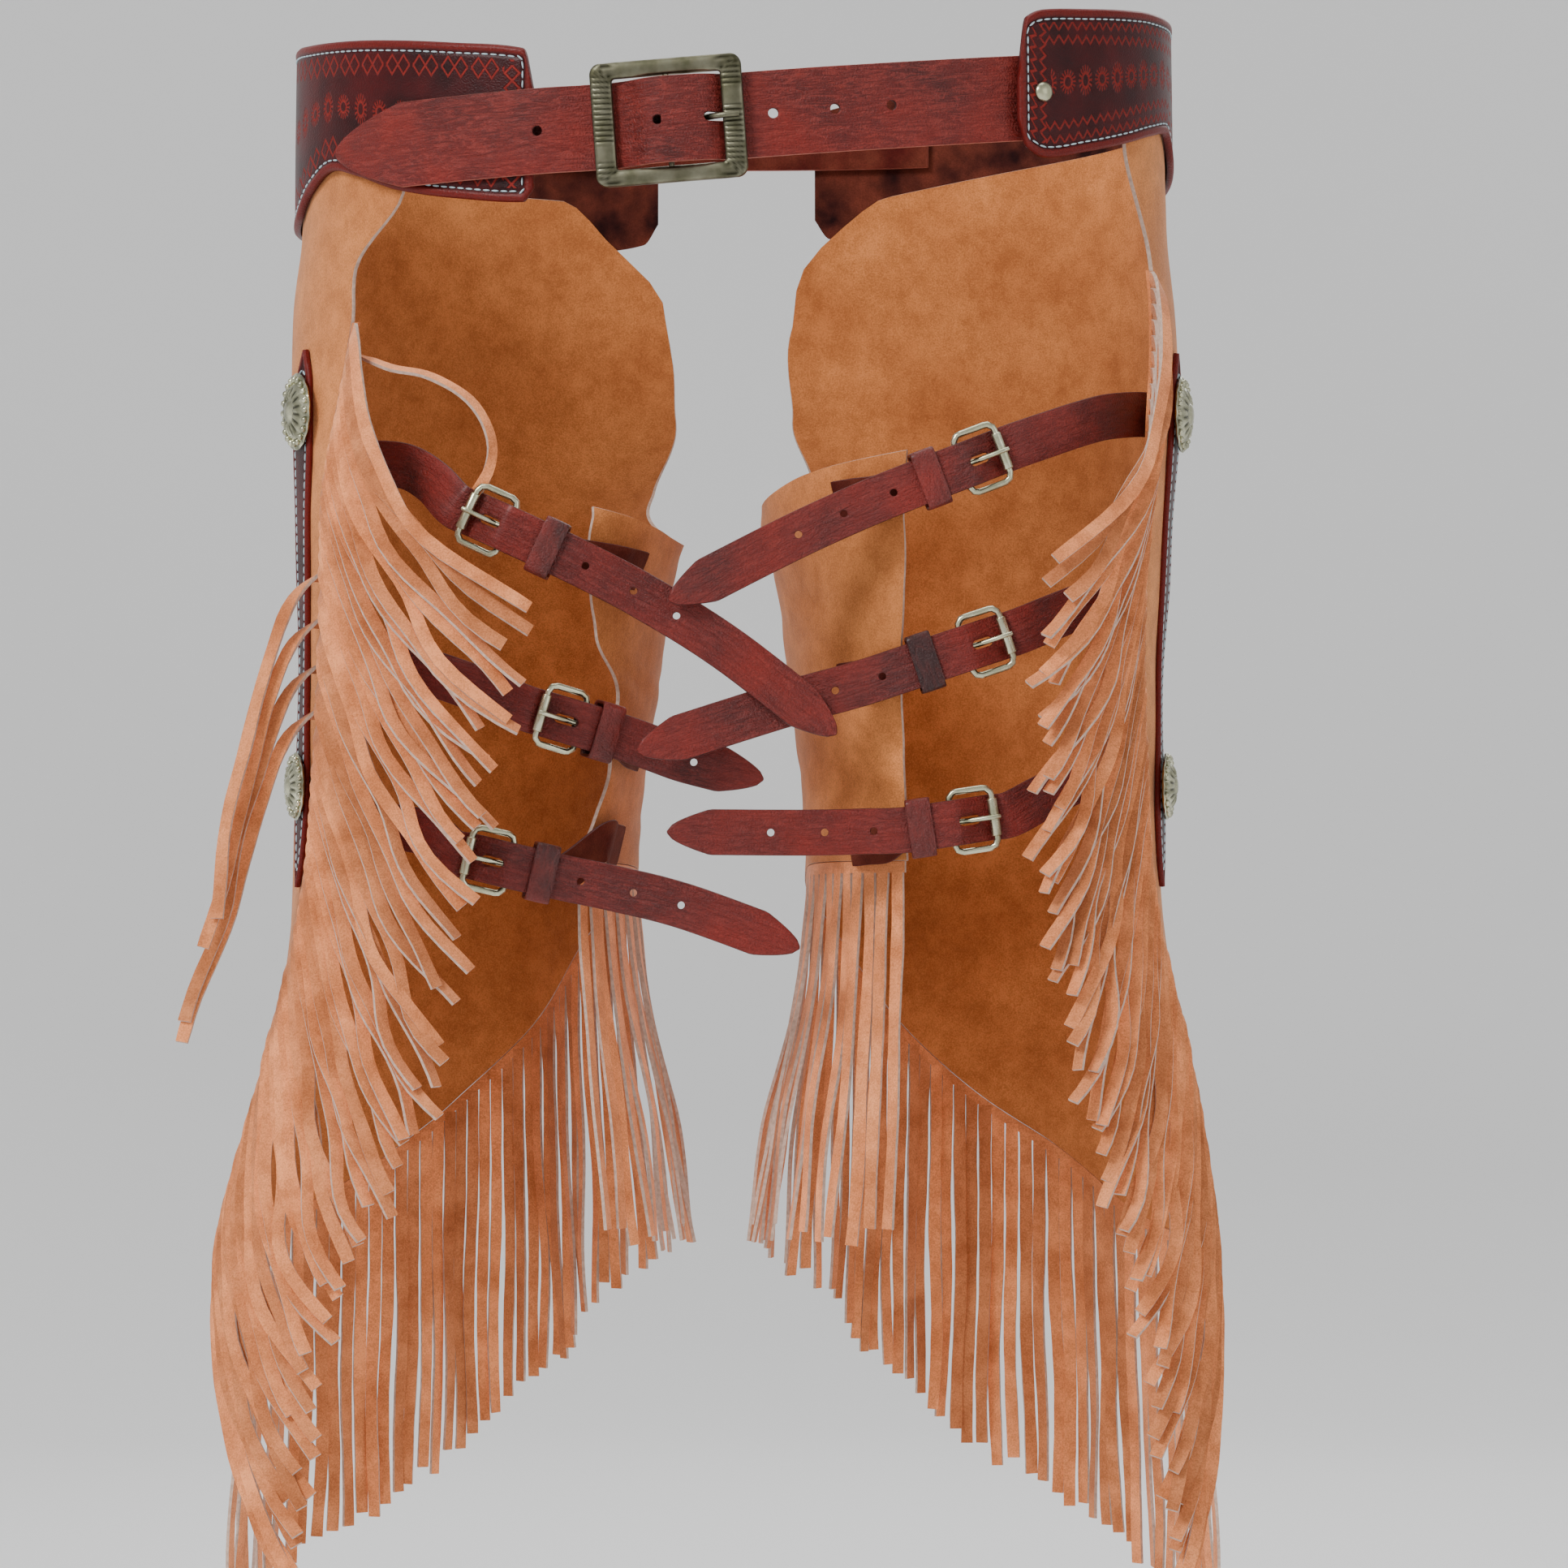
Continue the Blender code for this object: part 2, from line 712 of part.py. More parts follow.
def make_thigh_strap(key):
    side = key.split("_")[0]
    away = leg_away(side)
    marks = strap_points(key)
    buckle = marks[3]
    keeper = marks[4]
    towards = (keeper - buckle).normalized()
    out = away(buckle)
    out = (out - towards * out.dot(towards)).normalized()
    wide = out.cross(towards).normalized()
    lift = FRAME_WIRE + 1.0 + STRAP_LEATHER / 2
    over = FRAME_WIRE + GAP + 1.7 + 0.8 + STRAP_LEATHER / 2
    # The tail goes under the buckle's outer bar and over the bar that its short strap is folded round.
    half_frame = FRAME_LENGTH / 2
    before = buckle - towards * (half_frame + 7) - out * lift
    at_keeper = keeper + out * (over - 0.6)
    points = course(marks[:3] + [before], 16.0)
    points.append(buckle - towards * (half_frame - 2.5) - out * lift)
    points.append(buckle + towards * (half_frame - 2.0) + out * over)
    points.append(buckle + towards * (half_frame + 3.0) + out * (over + 0.2))
    tail_marks = [at_keeper - towards * 2, at_keeper + towards * 7]
    tail_marks += [marks[5] + out * 3, marks[6] + out * 2, marks[7]]
    points += course(tail_marks, 13.5)
    frames = ribbon_frames(points, away)
    gone = 0.0
    lengths = [0.0]
    for a, b in zip(points, points[1:]):
        gone += (b - a).length
        lengths.append(gone)
    halves = []
    for length in lengths:
        left = gone - length
        share = 0.12 + 0.88 * min(1.0, max(left, 0.0) / 19.0) ** 0.7
        halves.append(STRAP_WIDTH / 2 * share)
    tail = solid(f"thigh_strap_{key}", *ribbon(points, frames, halves, STRAP_LEATHER), "belt", smooth=False)
    cutters = []
    start = min(range(len(points)), key=lambda n: (points[n] - keeper).length)
    for k in range(3):
        want = lengths[start] + 18 + k * 23
        if want > gone - 26:
            break
        n = max(i for i in range(len(lengths) - 1) if lengths[i] <= want)
        t = (want - lengths[n]) / (lengths[n + 1] - lengths[n])
        cutters.append(punch(points[n].lerp(points[n + 1], t), frames[n][2], 1.7, depth=5.0))
    slot = punch(buckle + towards * 1.5 + out * 1.2, out, 2.1, stretch=5.5, along=towards, sides=8, depth=8.0)
    cutters.append(slot)
    cut(tail, cutters)

    # Wire frame with its prong.
    ring = []
    half_length = FRAME_LENGTH / 2
    half_height = FRAME_HEIGHT / 2
    bend = 3.5
    for sx, sz in ((1, 1), (-1, 1), (-1, -1), (1, -1)):
        for k in range(3):
            turn = math.radians(45 * k)
            dx = math.cos(turn)
            dz = math.sin(turn)
            if sx * sz < 0:
                dx, dz = dz, dx
            ring.append(
                buckle
                + towards * sx * (half_length - bend + bend * dx)
                + wide * sz * (half_height - FRAME_WIRE - bend + bend * dz)
            )
    frame = solid(f"strap_buckle_{key}", *rod(ring, FRAME_WIRE, 6, closed=True), "nickel")
    prong_line = [
        buckle + towards * (half_length + 0.2),
        buckle + towards * 3 + out * 1.2,
        buckle - towards * (half_length - 3) + out * 2.8,
        buckle - towards * (half_length + 2.2) + out * 2.5,
    ]
    prong = solid("prong", *rod(prong_line, 1.15, 6), "nickel")
    join(frame, (prong,))

    # Short strap folded round the buckle's inner bar and fixed to the inner panel.
    bar = buckle + towards * half_length
    loop = FRAME_WIRE + GAP + 0.9
    height = max(keeper.z - 7, -317)
    inner_angle = between(INNER_EDGE[side], 1, height)
    path = [
        skin(side, inner_angle - 19, height - 2, SUEDE + 2.7),
        skin(side, inner_angle - 12, height - 1, SUEDE + 3.6),
        skin(side, inner_angle - 5, height, SUEDE + 5.2),
        keeper + towards * 8.5 - out * 2.4,
        keeper - towards * 4.5 - out * 2.2,
        bar + towards * 4 - out * loop,
        bar - out * loop,
        bar - towards * loop * 0.8 - out * loop * 0.6,
        bar - towards * loop,
        bar - towards * loop * 0.8 + out * loop * 0.6,
        bar + out * loop,
        bar + towards * 3.2 + out * loop,
    ]
    line = []
    for n in range(len(path)):
        along = (path[min(n + 1, len(path) - 1)] - path[max(n - 1, 0)]).normalized()
        broad = (wide - along * wide.dot(along)).normalized()
        line.append((along, broad, along.cross(broad).normalized()))
    halves = [STRAP_WIDTH / 2 - 1.0] * len(path)
    shape = ribbon(path, line, halves, SHORT_STRAP_LEATHER)
    short = solid(f"short_strap_{key}", *shape, "belt", smooth=False)
    slot_centre = bar - towards * 1.5 + out * 1.4
    cut(short, [punch(slot_centre, out, 1.9, stretch=8.0, along=towards, sides=8, depth=3.2)])

    # Keeper: a flat loop round both straps.
    middle = keeper + out * 1.5
    rings = []
    half_w = STRAP_WIDTH / 2 + 2.4
    half_t = 6.0
    for shift in (-KEEPER_WIDTH / 2, KEEPER_WIDTH / 2):
        for grow in (0.0, 1.6):
            ring = []
            for sx, sz in ((1, 1), (-1, 1), (-1, -1), (1, -1)):
                for k in range(2):
                    a = half_w + grow - (1.6 if k == (0 if sx * sz < 0 else 1) else 0)
                    b = half_t + grow - (1.6 if k == (1 if sx * sz < 0 else 0) else 0)
                    ring.append(middle + towards * shift + wide * sx * a + out * sz * b)
            rings.append(ring)
    order = [rings[0], rings[1], rings[3], rings[2]]
    solid(f"keeper_{key}", *swept(order, closed=True), "keeper", smooth=False)


def strand_rings(side, root_angle, root_height, base, shape):
    """Rings of one hanging strand below its root; `shape` names how it leaves the edge."""
    length, slant, depth_slope, bend, turned, first_depth = shape
    rings = []
    fine = 60
    lat = 0.0
    drop = 0.0
    depth = 0.0
    path = []
    for n in range(fine + 1):
        s = length * n / fine
        full = 90 - math.degrees(math.atan(slant))
        angle = math.radians(full * (1 - math.exp(-s / bend)))
        path.append((s, lat, depth, drop, angle))
        slope = depth_slope + (first_depth / 11.0) * math.exp(-s / 11.0)
        step = length / fine / math.sqrt(1 + slope * slope)
        lat += step * math.cos(angle)
        drop += step * math.sin(angle)
        depth += step * slope
    marks = [0.0] + [fine * share for share in FRINGE_SHARES]
    chosen = [path[int(round(m))] for m in marks[1:]]
    placed = []
    for s, lat_n, depth_n, drop_n, angle in chosen:
        height = root_height - drop_n
        spot = max(between(FORM[side], 2, height), 60)
        around = root_angle - math.degrees(lat_n / spot)
        placed.append((skin_plain(side, around, height, base + depth_n), around, height, angle, s))
    for n, (p, around, height, angle, s) in enumerate(placed):
        ahead = placed[min(n + 1, len(placed) - 1)][0]
        behind = placed[max(n - 1, 0)][0]
        along = (ahead - behind).normalized()
        out = outward(side, around, height)
        back = Vector((out.y, -out.x, 0)) * SIGN[side]
        flat = -UP * math.cos(angle) - back * math.sin(angle)
        tilt = math.radians(turned) * ease(0, 35, s)
        flat = flat * math.cos(tilt) + out * math.sin(tilt)
        flat = (flat - along * flat.dot(along)).normalized()
        face = along.cross(flat).normalized()
        if face.dot(out) < 0 and abs(face.dot(out)) > 0.2:
            face = -face
        if face.dot(out * math.cos(tilt) + back * math.sin(tilt)) < 0:
            face = -face
        across = flat * STRAND_WIDTH / 2 * (1.0 - 0.06 * s / length)
        through = face * STRAND_LEATHER / 2
        rings.append([p - across + through, p + across + through, p + across - through, p - across - through])
    return rings


def rough_share(n, seed):
    """Steady scatter between -1 and 1 for piece number n."""
    value = math.sin(n * 12.9898 + seed * 78.233) * 43758.5453
    return 2 * (value - math.floor(value)) - 1


def fringe_solid(name, sections, strands):
    """Strip of cells with one strand drawn out of the lower face of every cell, as one closed piece."""
    points = []
    faces = []
    for row in sections:
        points += row
    for n in range(len(sections) - 1):
        a = 4 * n
        b = a + 4
        faces.append((a, a + 1, b + 1, b))
        faces.append((a + 1, a + 2, b + 2, b + 1))
        faces.append((a + 3, a, b, b + 3))
        rings = strands[n]
        # Root order: outer upper, outer lower, inner lower, inner upper along the strip.
        last = (a + 2, b + 2, b + 3, a + 3)
        for ring in rings:
            start = len(points)
            points += ring
            now = (start, start + 1, start + 2, start + 3)
            for k in range(4):
                m = (k + 1) % 4
                faces.append((last[k], last[m], now[m], now[k]))
            last = now
        faces.append(last)
    faces.append((0, 1, 2, 3))
    end = 4 * (len(sections) - 1)
    faces.append((end + 3, end + 2, end + 1, end))
    return solid(name, points, faces, "fringe", smooth=False)


def outer_edge_point(side, height, out):
    """Point of the panel's outer edge at a height, on the straight runs between its own points."""
    run = [panel_point(side, 1.0, r / PANEL_ROWS, out) for r in range(PANEL_ROWS + 1)]
    n = max(min(sum(p.z <= height for p in run) - 1, PANEL_ROWS - 1), 0)
    t = (height - run[n].z) / (run[n + 1].z - run[n].z)
    return run[n].lerp(run[n + 1], t)


def angle_of(side, p):
    """Angle of a point round the leg's form."""
    x = (p.x * SIGN[side] - between(FORM[side], 1, p.z)) / between(FORM[side], 2, p.z)
    return math.degrees(math.atan2(p.y / between(FORM[side], 3, p.z), x))


def make_outer_fringe(side):
    top = OUTER_FRINGE_TOP[side]
    bottom = between(TOP_AND_HEM[side], 2, 1.0) + 2
    heights = [top + (bottom - top) * n / OUTER_STRANDS for n in range(OUTER_STRANDS + 1)]
    sections = []
    strands = []
    for height in heights:
        spot = outer_edge_point(side, height, 0.3)
        out = outward(side, angle_of(side, spot), height)
        back = Vector((out.y, -out.x, 0)) * SIGN[side]
        near = spot + back * 0.9
        far = near + back * STRIP_WIDTH + out * 0.5
        sections.append([near, near + out * STRAND_LEATHER, far + out * STRAND_LEATHER, far])
    for n in range(OUTER_STRANDS):
        root = (sections[n][3] + sections[n + 1][3]) / 2
        share = n / OUTER_STRANDS
        length = STRAND_LENGTH * (1 + 0.05 * rough_share(n, 3))
        slant = between(FAN[side], 1, share)
        depth = between(FAN[side], 2, share)
        turned = between(FAN[side], 3, share)
        shape = (length, slant, depth, 13.0, turned, 9.0)
        if in_series(STAND_OFF[side], n):
            shape = (length * 1.02, 0.0, STAND_OFF_SLOPE, 4.5, 35.0, 32.0)
        strands.append(strand_rings(side, angle_of(side, root), root.z, STRAND_LEATHER / 2 + 0.8, shape))
    fringe_solid(f"outer_fringe_{side}", sections, strands)


def in_series(series, n):
    first, last, every = series
    return first <= n <= last and (n - first) % every == 0


def along_run(run, gone, want):
    """Point at a distance along straight runs between points."""
    n = 0
    while n < len(run) - 2 and gone[n + 1] < want:
        n += 1
    return run[n].lerp(run[n + 1], (want - gone[n]) / (gone[n + 1] - gone[n]))


def make_hem_fringe(side):
    inner = [panel_point(side, c / PANEL_COLUMNS, 0.0, 0.3) for c in range(PANEL_COLUMNS + 1)]
    outer_out = 0.3 + STRAND_LEATHER
    outer = [panel_point(side, c / PANEL_COLUMNS, 0.0, outer_out) for c in range(PANEL_COLUMNS + 1)]
    gone = [0.0]
    for a, b in zip(inner, inner[1:]):
        gone.append(gone[-1] + (b - a).length)
    sections = []
    for n in range(HEM_STRANDS + 1):
        want = 1.0 + (gone[-1] - 11.0) * n / HEM_STRANDS
        a = along_run(inner, gone, want) - UP * 1.1
        b = along_run(outer, gone, want) - UP * 1.1
        sections.append([a, b, b - UP * STRIP_WIDTH, a - UP * STRIP_WIDTH])
    strands = []
    for n in range(HEM_STRANDS):
        root = (sections[n][2] + sections[n][3] + sections[n + 1][2] + sections[n + 1][3]) / 4
        broad = sections[n + 1][3] - sections[n][3]
        broad.z = 0
        pitch = broad.length
        broad.normalize()
        angle = angle_of(side, root)
        out = Vector((broad.y, -broad.x, 0))
        if out.dot(outward(side, angle, root.z)) < 0:
            out = -out
        inner_side = math.exp(-(((angle % 360) - 190) / 38) ** 2)
        flare = 0.03 + 0.13 * inner_side
        length = STRAND_LENGTH * (0.98 + 0.03 * rough_share(n, 7))
        rings = []
        for reach in HEM_SHARES:
            s = length * reach
            layer = (1.3 if n % 2 else -0.5) * ease(0, 30, s)
            centre = root - UP * s + out * (layer + flare * s * ease(-20, 120, s))
            w = min(STRAND_WIDTH, pitch * 0.84) / 2
            t = STRAND_LEATHER / 2
            rings.append([
                centre - broad * w + out * t,
                centre + broad * w + out * t,
                centre + broad * w - out * t,
                centre - broad * w - out * t,
            ])
        strands.append(rings)
    fringe_solid(f"hem_fringe_{side}", sections, strands)


# Outer side strip and its conchos: height, half-width in degrees of the leg.
SIDE_STRIP = ((-94, 0.6), (-110, 3.6), (-150, 6.0), (-240, 4.6), (-300, 5.6), (-325, 3.6), (-338, 0.6))
SIDE_STRIP_ANGLE = {"left": -21.0, "right": -11.0}
CONCHOS = (-122.0, -292.0)


def make_side_strip(side):
    inner = []
    outer = []
    middle = SIDE_STRIP_ANGLE[side]
    for share in (-1.0, -0.4, 0.4, 1.0):
        inner.append([])
        outer.append([])
        for k in range(12):
            height = -94 - 244 * k / 11
            angle = middle + share * between(SIDE_STRIP, 1, height)
            inner[-1].append(skin(side, angle, height, SUEDE + GAP))
            outer[-1].append(skin(side, angle, height, SUEDE + GAP + 2.0))
    solid(f"side_strip_{side}", *wall(inner, outer), "yoke")
    for k, height in enumerate(CONCHOS):
        out = outward(side, middle, height)
        base = skin(side, middle, height, SUEDE + GAP + 2.0 + 0.9)
        profile = ((0.88, 0.0), (1.0, 1.4), (0.8, 3.2), (0.45, 5.2), (0.12, 6.2))
        radius = 17.5 if k == 0 else 15.5
        solid(f"concho_{side}_{k + 1}", *disc(base, out, radius, profile, 12), "concho")


def make_front():
    """Plain strap across the front between the yokes, under their ends."""
    inner = []
    outer = []
    for share in (0.0, 0.5, 1.0):
        inner.append([])
        outer.append([])
        for k in range(13):
            x = -92 + 184 * k / 12
            height = 6 + 24 * share
            inner[-1].append(waist(x, height, -1.0, back=False)[0])
            outer[-1].append(waist(x, height, YOKE_OUT - GAP, back=False)[0])
    solid("front_strap", *wall(inner, outer), "belt")
    for side in ("left", "right"):
        make_rivet(f"front_rivet_{side}", side, 72, 18)
    make_rivet("back_rivet_right", "right", -46.5, 17)


def make_rivet(name, side, angle, height):
    """Domed rivet head on a yoke."""
    place = skin_plain(side, angle, height, YOKE_OUT + YOKE_LEATHER + GAP)
    profile = ((0.9, 0.0), (1.0, 0.7), (0.75, 2.0), (0.25, 2.7))
    solid(name, *disc(place, outward(side, angle, height), 4.5, profile, 10), "nickel")


for old in list(bpy.data.objects):
    bpy.data.objects.remove(old)
for which in ("left", "right"):
    make_panel(which)
    make_yoke(which)
    make_side_strip(which)
    make_outer_fringe(which)
    make_hem_fringe(which)
for strap in THIGH_STRAPS:
    make_thigh_strap(strap)
make_belt()
make_buckle()
make_front()
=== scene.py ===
"""Fringed leather chaps: suede legs with cut fringe, tooled hip yokes, a belt and buckled thigh straps.

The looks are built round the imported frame. Shapes are worked out in millimetres and degrees, and a mesh
gets its metres when it is made. A leg's angle runs from 0 at the outer side through 90 at the front to
180 on the inner side. -Y is the wearer's back and +Y the front.
"""

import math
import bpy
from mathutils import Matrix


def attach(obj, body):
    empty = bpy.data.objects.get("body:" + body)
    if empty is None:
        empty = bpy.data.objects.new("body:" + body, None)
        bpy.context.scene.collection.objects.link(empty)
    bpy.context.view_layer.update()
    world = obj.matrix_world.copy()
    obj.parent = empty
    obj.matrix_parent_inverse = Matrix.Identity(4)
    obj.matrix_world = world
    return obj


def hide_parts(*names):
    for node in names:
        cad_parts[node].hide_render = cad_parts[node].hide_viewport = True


bl_info = {
    "name": "Fringed Leather Chaps",
    "version": (1, 0, 0),
    "blender": (4, 5, 0),
    "location": "3D View > Sidebar > Chaps",
    "description": "Suede, tooled leather, fringe and metal of a pair of chaps, built round its frame",
    "category": "Object",
}

import bmesh
import bpy
import numpy as np

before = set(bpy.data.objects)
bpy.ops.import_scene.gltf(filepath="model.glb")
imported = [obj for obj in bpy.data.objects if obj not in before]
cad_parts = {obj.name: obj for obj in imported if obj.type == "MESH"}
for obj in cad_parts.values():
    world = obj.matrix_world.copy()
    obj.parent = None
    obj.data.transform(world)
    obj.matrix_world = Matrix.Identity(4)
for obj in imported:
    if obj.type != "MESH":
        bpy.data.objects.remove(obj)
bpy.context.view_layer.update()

MM = 0.001
UP = np.array((0.0, 0.0, 1.0))
SIDES = ("left", "right")
SIGN = {"left": -1.0, "right": 1.0}

# Gap between pieces and leather thicknesses.
GAP = 0.4
YOKE_LEATHER = 2.8
BELT_LEATHER = 3.0
STRAP_LEATHER = 2.6
SHORT_STRAP_LEATHER = 1.7
BUCKLE_LEATHER = 1.8
STRIP_LEATHER = 2.0

# Waist loop, as half-axes of an ellipse.
WAIST_HALF_WIDTH = 196.0
WAIST_HALF_DEPTH = 125.0

# Form each leg's leather follows: height, centre from the middle, half-width, half-depth.
FORM = {
    "left": (
        (60, 0, 196, 125), (-30, 0, 197, 126), (-70, 14, 187, 127), (-115, 56, 146, 120),
        (-170, 110, 89, 106), (-250, 118, 80, 99), (-330, 124, 76, 93), (-420, 130, 82, 93),
        (-510, 138, 90, 95), (-680, 130, 84, 94),
    ),
    "right": (
        (60, 0, 196, 125), (-30, 0, 197, 126), (-70, 14, 187, 127), (-115, 56, 146, 120),
        (-165, 105, 93, 106), (-250, 111, 83, 99), (-330, 114, 80, 93), (-420, 119, 87, 93),
        (-510, 123, 91, 95), (-680, 124, 90, 95),
    ),
}

# Outer and inner back edges of a leg panel: height, angle.
OUTER_EDGE = {
    "left": (
        (0, -44), (-27, -42), (-60, -33), (-85, -35), (-200, -33), (-330, -27), (-420, -14), (-520, -4),
    ),
    "right": (
        (20, -27), (0, -27), (-50, -19), (-95, -22), (-140, -27), (-200, -30), (-330, -24), (-420, -14),
        (-520, -6),
    ),
}
INNER_EDGE = {
    "left": ((-140, 241), (-168, 241), (-225, 233), (-255, 218), (-281, 218), (-326, 231)),
    "right": ((-140, 253), (-170, 252), (-250, 246), (-330, 245)),
}
# Top and hem of a leg panel across its width: share from inner to outer edge, top, hem.
TOP_AND_HEM = {
    "left": (
        (0.0, -168, -326), (0.1, -176, -327), (0.2, -181, -330), (0.3, -178, -346), (0.42, -152, -385),
        (0.5, -120, -412), (0.57, -72, -436), (0.62, -10, -452), (0.8, -6, -492), (1.0, -4, -512),
    ),
    "right": (
        (0.0, -143, -325), (0.12, -152, -326), (0.26, -163, -331), (0.35, -163, -350), (0.46, -148, -396),
        (0.545, -116, -424), (0.61, -72, -444), (0.66, -8, -457), (0.82, 8, -494), (1.0, 14, -512),
    ),
}
# How far the thigh straps draw the inner back edge out.
PULLED = {"left": 9.0, "right": 3.0}

# Yokes: angle, top, bottom.
YOKE = {
    "left": (
        (-64, 15, -28), (-62.5, 34, -34), (-52, 38, -31), (-42, 41, -26), (-33, 43, -18), (-26, 44, -14),
        (-17, 45, -22), (-8, 46, -33), (2, 46, -38), (25, 44, -40), (50, 40, -38), (70, 37, -34),
        (77, 34, -30), (79, 24, -20),
    ),
    "right": (
        (-50.5, 22, 4), (-49, 50, -8), (-46, 54, -12), (-38, 56, -8), (-28, 58, -2), (-20, 59, 3),
        (-12, 59, 6), (-4, 58, -6), (5, 56, -16), (25, 50, -26), (50, 44, -30), (70, 39, -30),
        (77, 35, -27), (79, 26, -18),
    ),
}
YOKE_OUT = 2.8
STITCH_INSET = 4.6
# Stamped rows in metres: pitch of a stamp, width of one peak, base, rise, pitch of the middle row.
STAMPS = {"left": (0.0153, 0.0066, 0.0, 0.0044, 0.0122), "right": (0.0106, 0.0050, 0.0015, 0.0034, 0.0104)}

# Belt and its buckle.
BELT_WIDTH = 37.5
BUCKLE_X = -27.0
BUCKLE_LENGTH = 67.0
BUCKLE_HEIGHT = 54.5
BUCKLE_SIDE_BAR = 9.5
BUCKLE_TOP_BAR = 7.2
BUCKLE_THICK = 3.4
BUCKLE_OUT = 7.2
BAR_RADIUS = 1.3
RIB_PITCH = 2.35
# Holed strap: across, outward shift.
BELT_RUN = (
    (150, -1.6), (126, -1.6), (95, -0.6), (60, 1.4), (28, 3.3), (6, 3.4), (-3, 4.0), (-7, 7.2), (-12, 10.8),
    (-20, 12.7), (-28, 13.2), (-35, 11.6), (-43, 6.2), (-51, 3.6), (-62, 4.2), (-76, 7.4), (-84, 8.4),
    (-100, 8.6), (-118, 8.8), (-134, 9.0), (-171, 9.2),
)
BELT_HOLES = (-83, 18, 45, 70)
# Buckle's own strap, round the bar: across, outward shift.
BUCKLE_RUN = (
    (-112, -2.4), (-94, -2.2), (-80, -0.6), (-62, -0.6), (-52, -0.4), (-42, 0.6), (-35, 3.0), (-30, 4.3),
    (-26.5, 4.5), (-24.6, 5.7), (-24.1, 7.2), (-24.6, 8.8), (-26.5, 9.9), (-30, 10.2),
)

# Thigh straps: points from the outer edge to the tip, as across, depth, height.
STRAP_WIDTH = 20.0
KEEPER_WIDTH = 11.0
THIGH_STRAPS = {
    "left_upper": (
        (-143, -84, -150), (-108.5, -106, -174), (-81.6, -107, -186.5), (-41, -106, -207), (-1, -109, -232),
        (46, -114, -269),
    ),
    "left_middle": (
        (-140, -84, -240), (-76.2, -95, -262), (-58.2, -87, -267.5), (-40, -86, -273.5), (-22, -88, -280),
        (13.7, -92, -289),
    ),
    "left_lower": (
        (-140, -80, -312), (-108.5, -96, -325), (-85.2, -92, -330.5), (-55, -92, -337), (-21, -95, -345.5),
        (29.8, -100, -364),
    ),
    "right_upper": (
        (162, -83, -128), (110.7, -111, -147), (87.3, -113, -156), (55, -112.5, -169), (22.6, -113, -184),
        (-27.7, -117, -210),
    ),
    "right_middle": (
        (160, -76, -210), (112.5, -103, -228), (85.5, -104, -237), (55, -104, -247), (20.8, -104, -256.5),
        (-42, -106, -276.5),
    ),
    "right_lower": (
        (160, -72, -287), (107.1, -98, -307), (83.7, -98, -310.5), (60, -98, -312), (32.7, -99, -312.6),
        (-28.8, -103, -312.2),
    ),
}
STRAP_SEAT = {
    "left_upper": 2.8,
    "left_middle": 1.5,
    "left_lower": 2.4,
    "right_upper": 2.3,
    "right_middle": 1.8,
    "right_lower": 1.4,
}
FRAME_LENGTH = 19.0
FRAME_HEIGHT = 30.0
FRAME_WIRE = 1.5
ROLLER_RADIUS = 2.3

# Fringe.
OUTER_STRANDS = 62
HEM_STRANDS = 58
STRIP_WIDTH = 5.0
OUTER_FRINGE_TOP = {"left": -84.0, "right": -58.0}
# How the outer fringe falls: share down the edge, slant, growth in depth, turn of the face.
FAN = {
    "left": (
        (0.0, 0.58, 0.24, 30), (0.12, 0.48, 0.20, 32), (0.3, 0.46, 0.16, 34), (0.5, 0.46, 0.13, 36),
        (0.8, 0.42, 0.13, 34), (1.0, 0.42, 0.17, 36),
    ),
    "right": (
        (0.0, 0.50, 0.24, 34), (0.12, 0.42, 0.20, 38), (0.3, 0.33, 0.16, 42), (0.7, 0.33, 0.14, 44),
        (1.0, 0.33, 0.13, 44),
    ),
}
# Strands that stand off outwards: first, last, every how many.
STAND_OFF = {"left": (16, 26, 3), "right": (0, -1, 1)}
STAND_OFF_SLOPE = 0.27
# Strand that springs out in a loop beside the upper left buckle, and the way its face looks.
STRAY_STRAND = (
    (-170, -68, -98), (-163, -84, -101), (-151, -95, -106), (-134, -103, -110), (-116, -106, -121),
    (-107, -106, -137), (-108, -104, -152), (-117, -101, -166),
)
STRAY_FACING = (0.35, -0.6, 0.72)

# Outer side strip and its conchos: height, half-width in degrees of the leg.
SIDE_STRIP = ((-94, 0.6), (-110, 3.6), (-150, 6.0), (-240, 4.6), (-300, 5.6), (-325, 3.6), (-338, 0.6))
SIDE_STRIP_ANGLE = {"left": -21.0, "right": -11.0}
# Leg radius at the strip, and degrees in a radian, to turn its half-width into millimetres.
STRIP_LEG_RADIUS = 90
DEGREES_IN_RADIAN = 57.3
# Conchos: height, radius. Their profile is drawn for the larger radius.
CONCHOS = ((-122.0, 17.5), (-292.0, 15.5))
CONCHO_RADIUS = 17.5
CONCHO_BEADS = 20


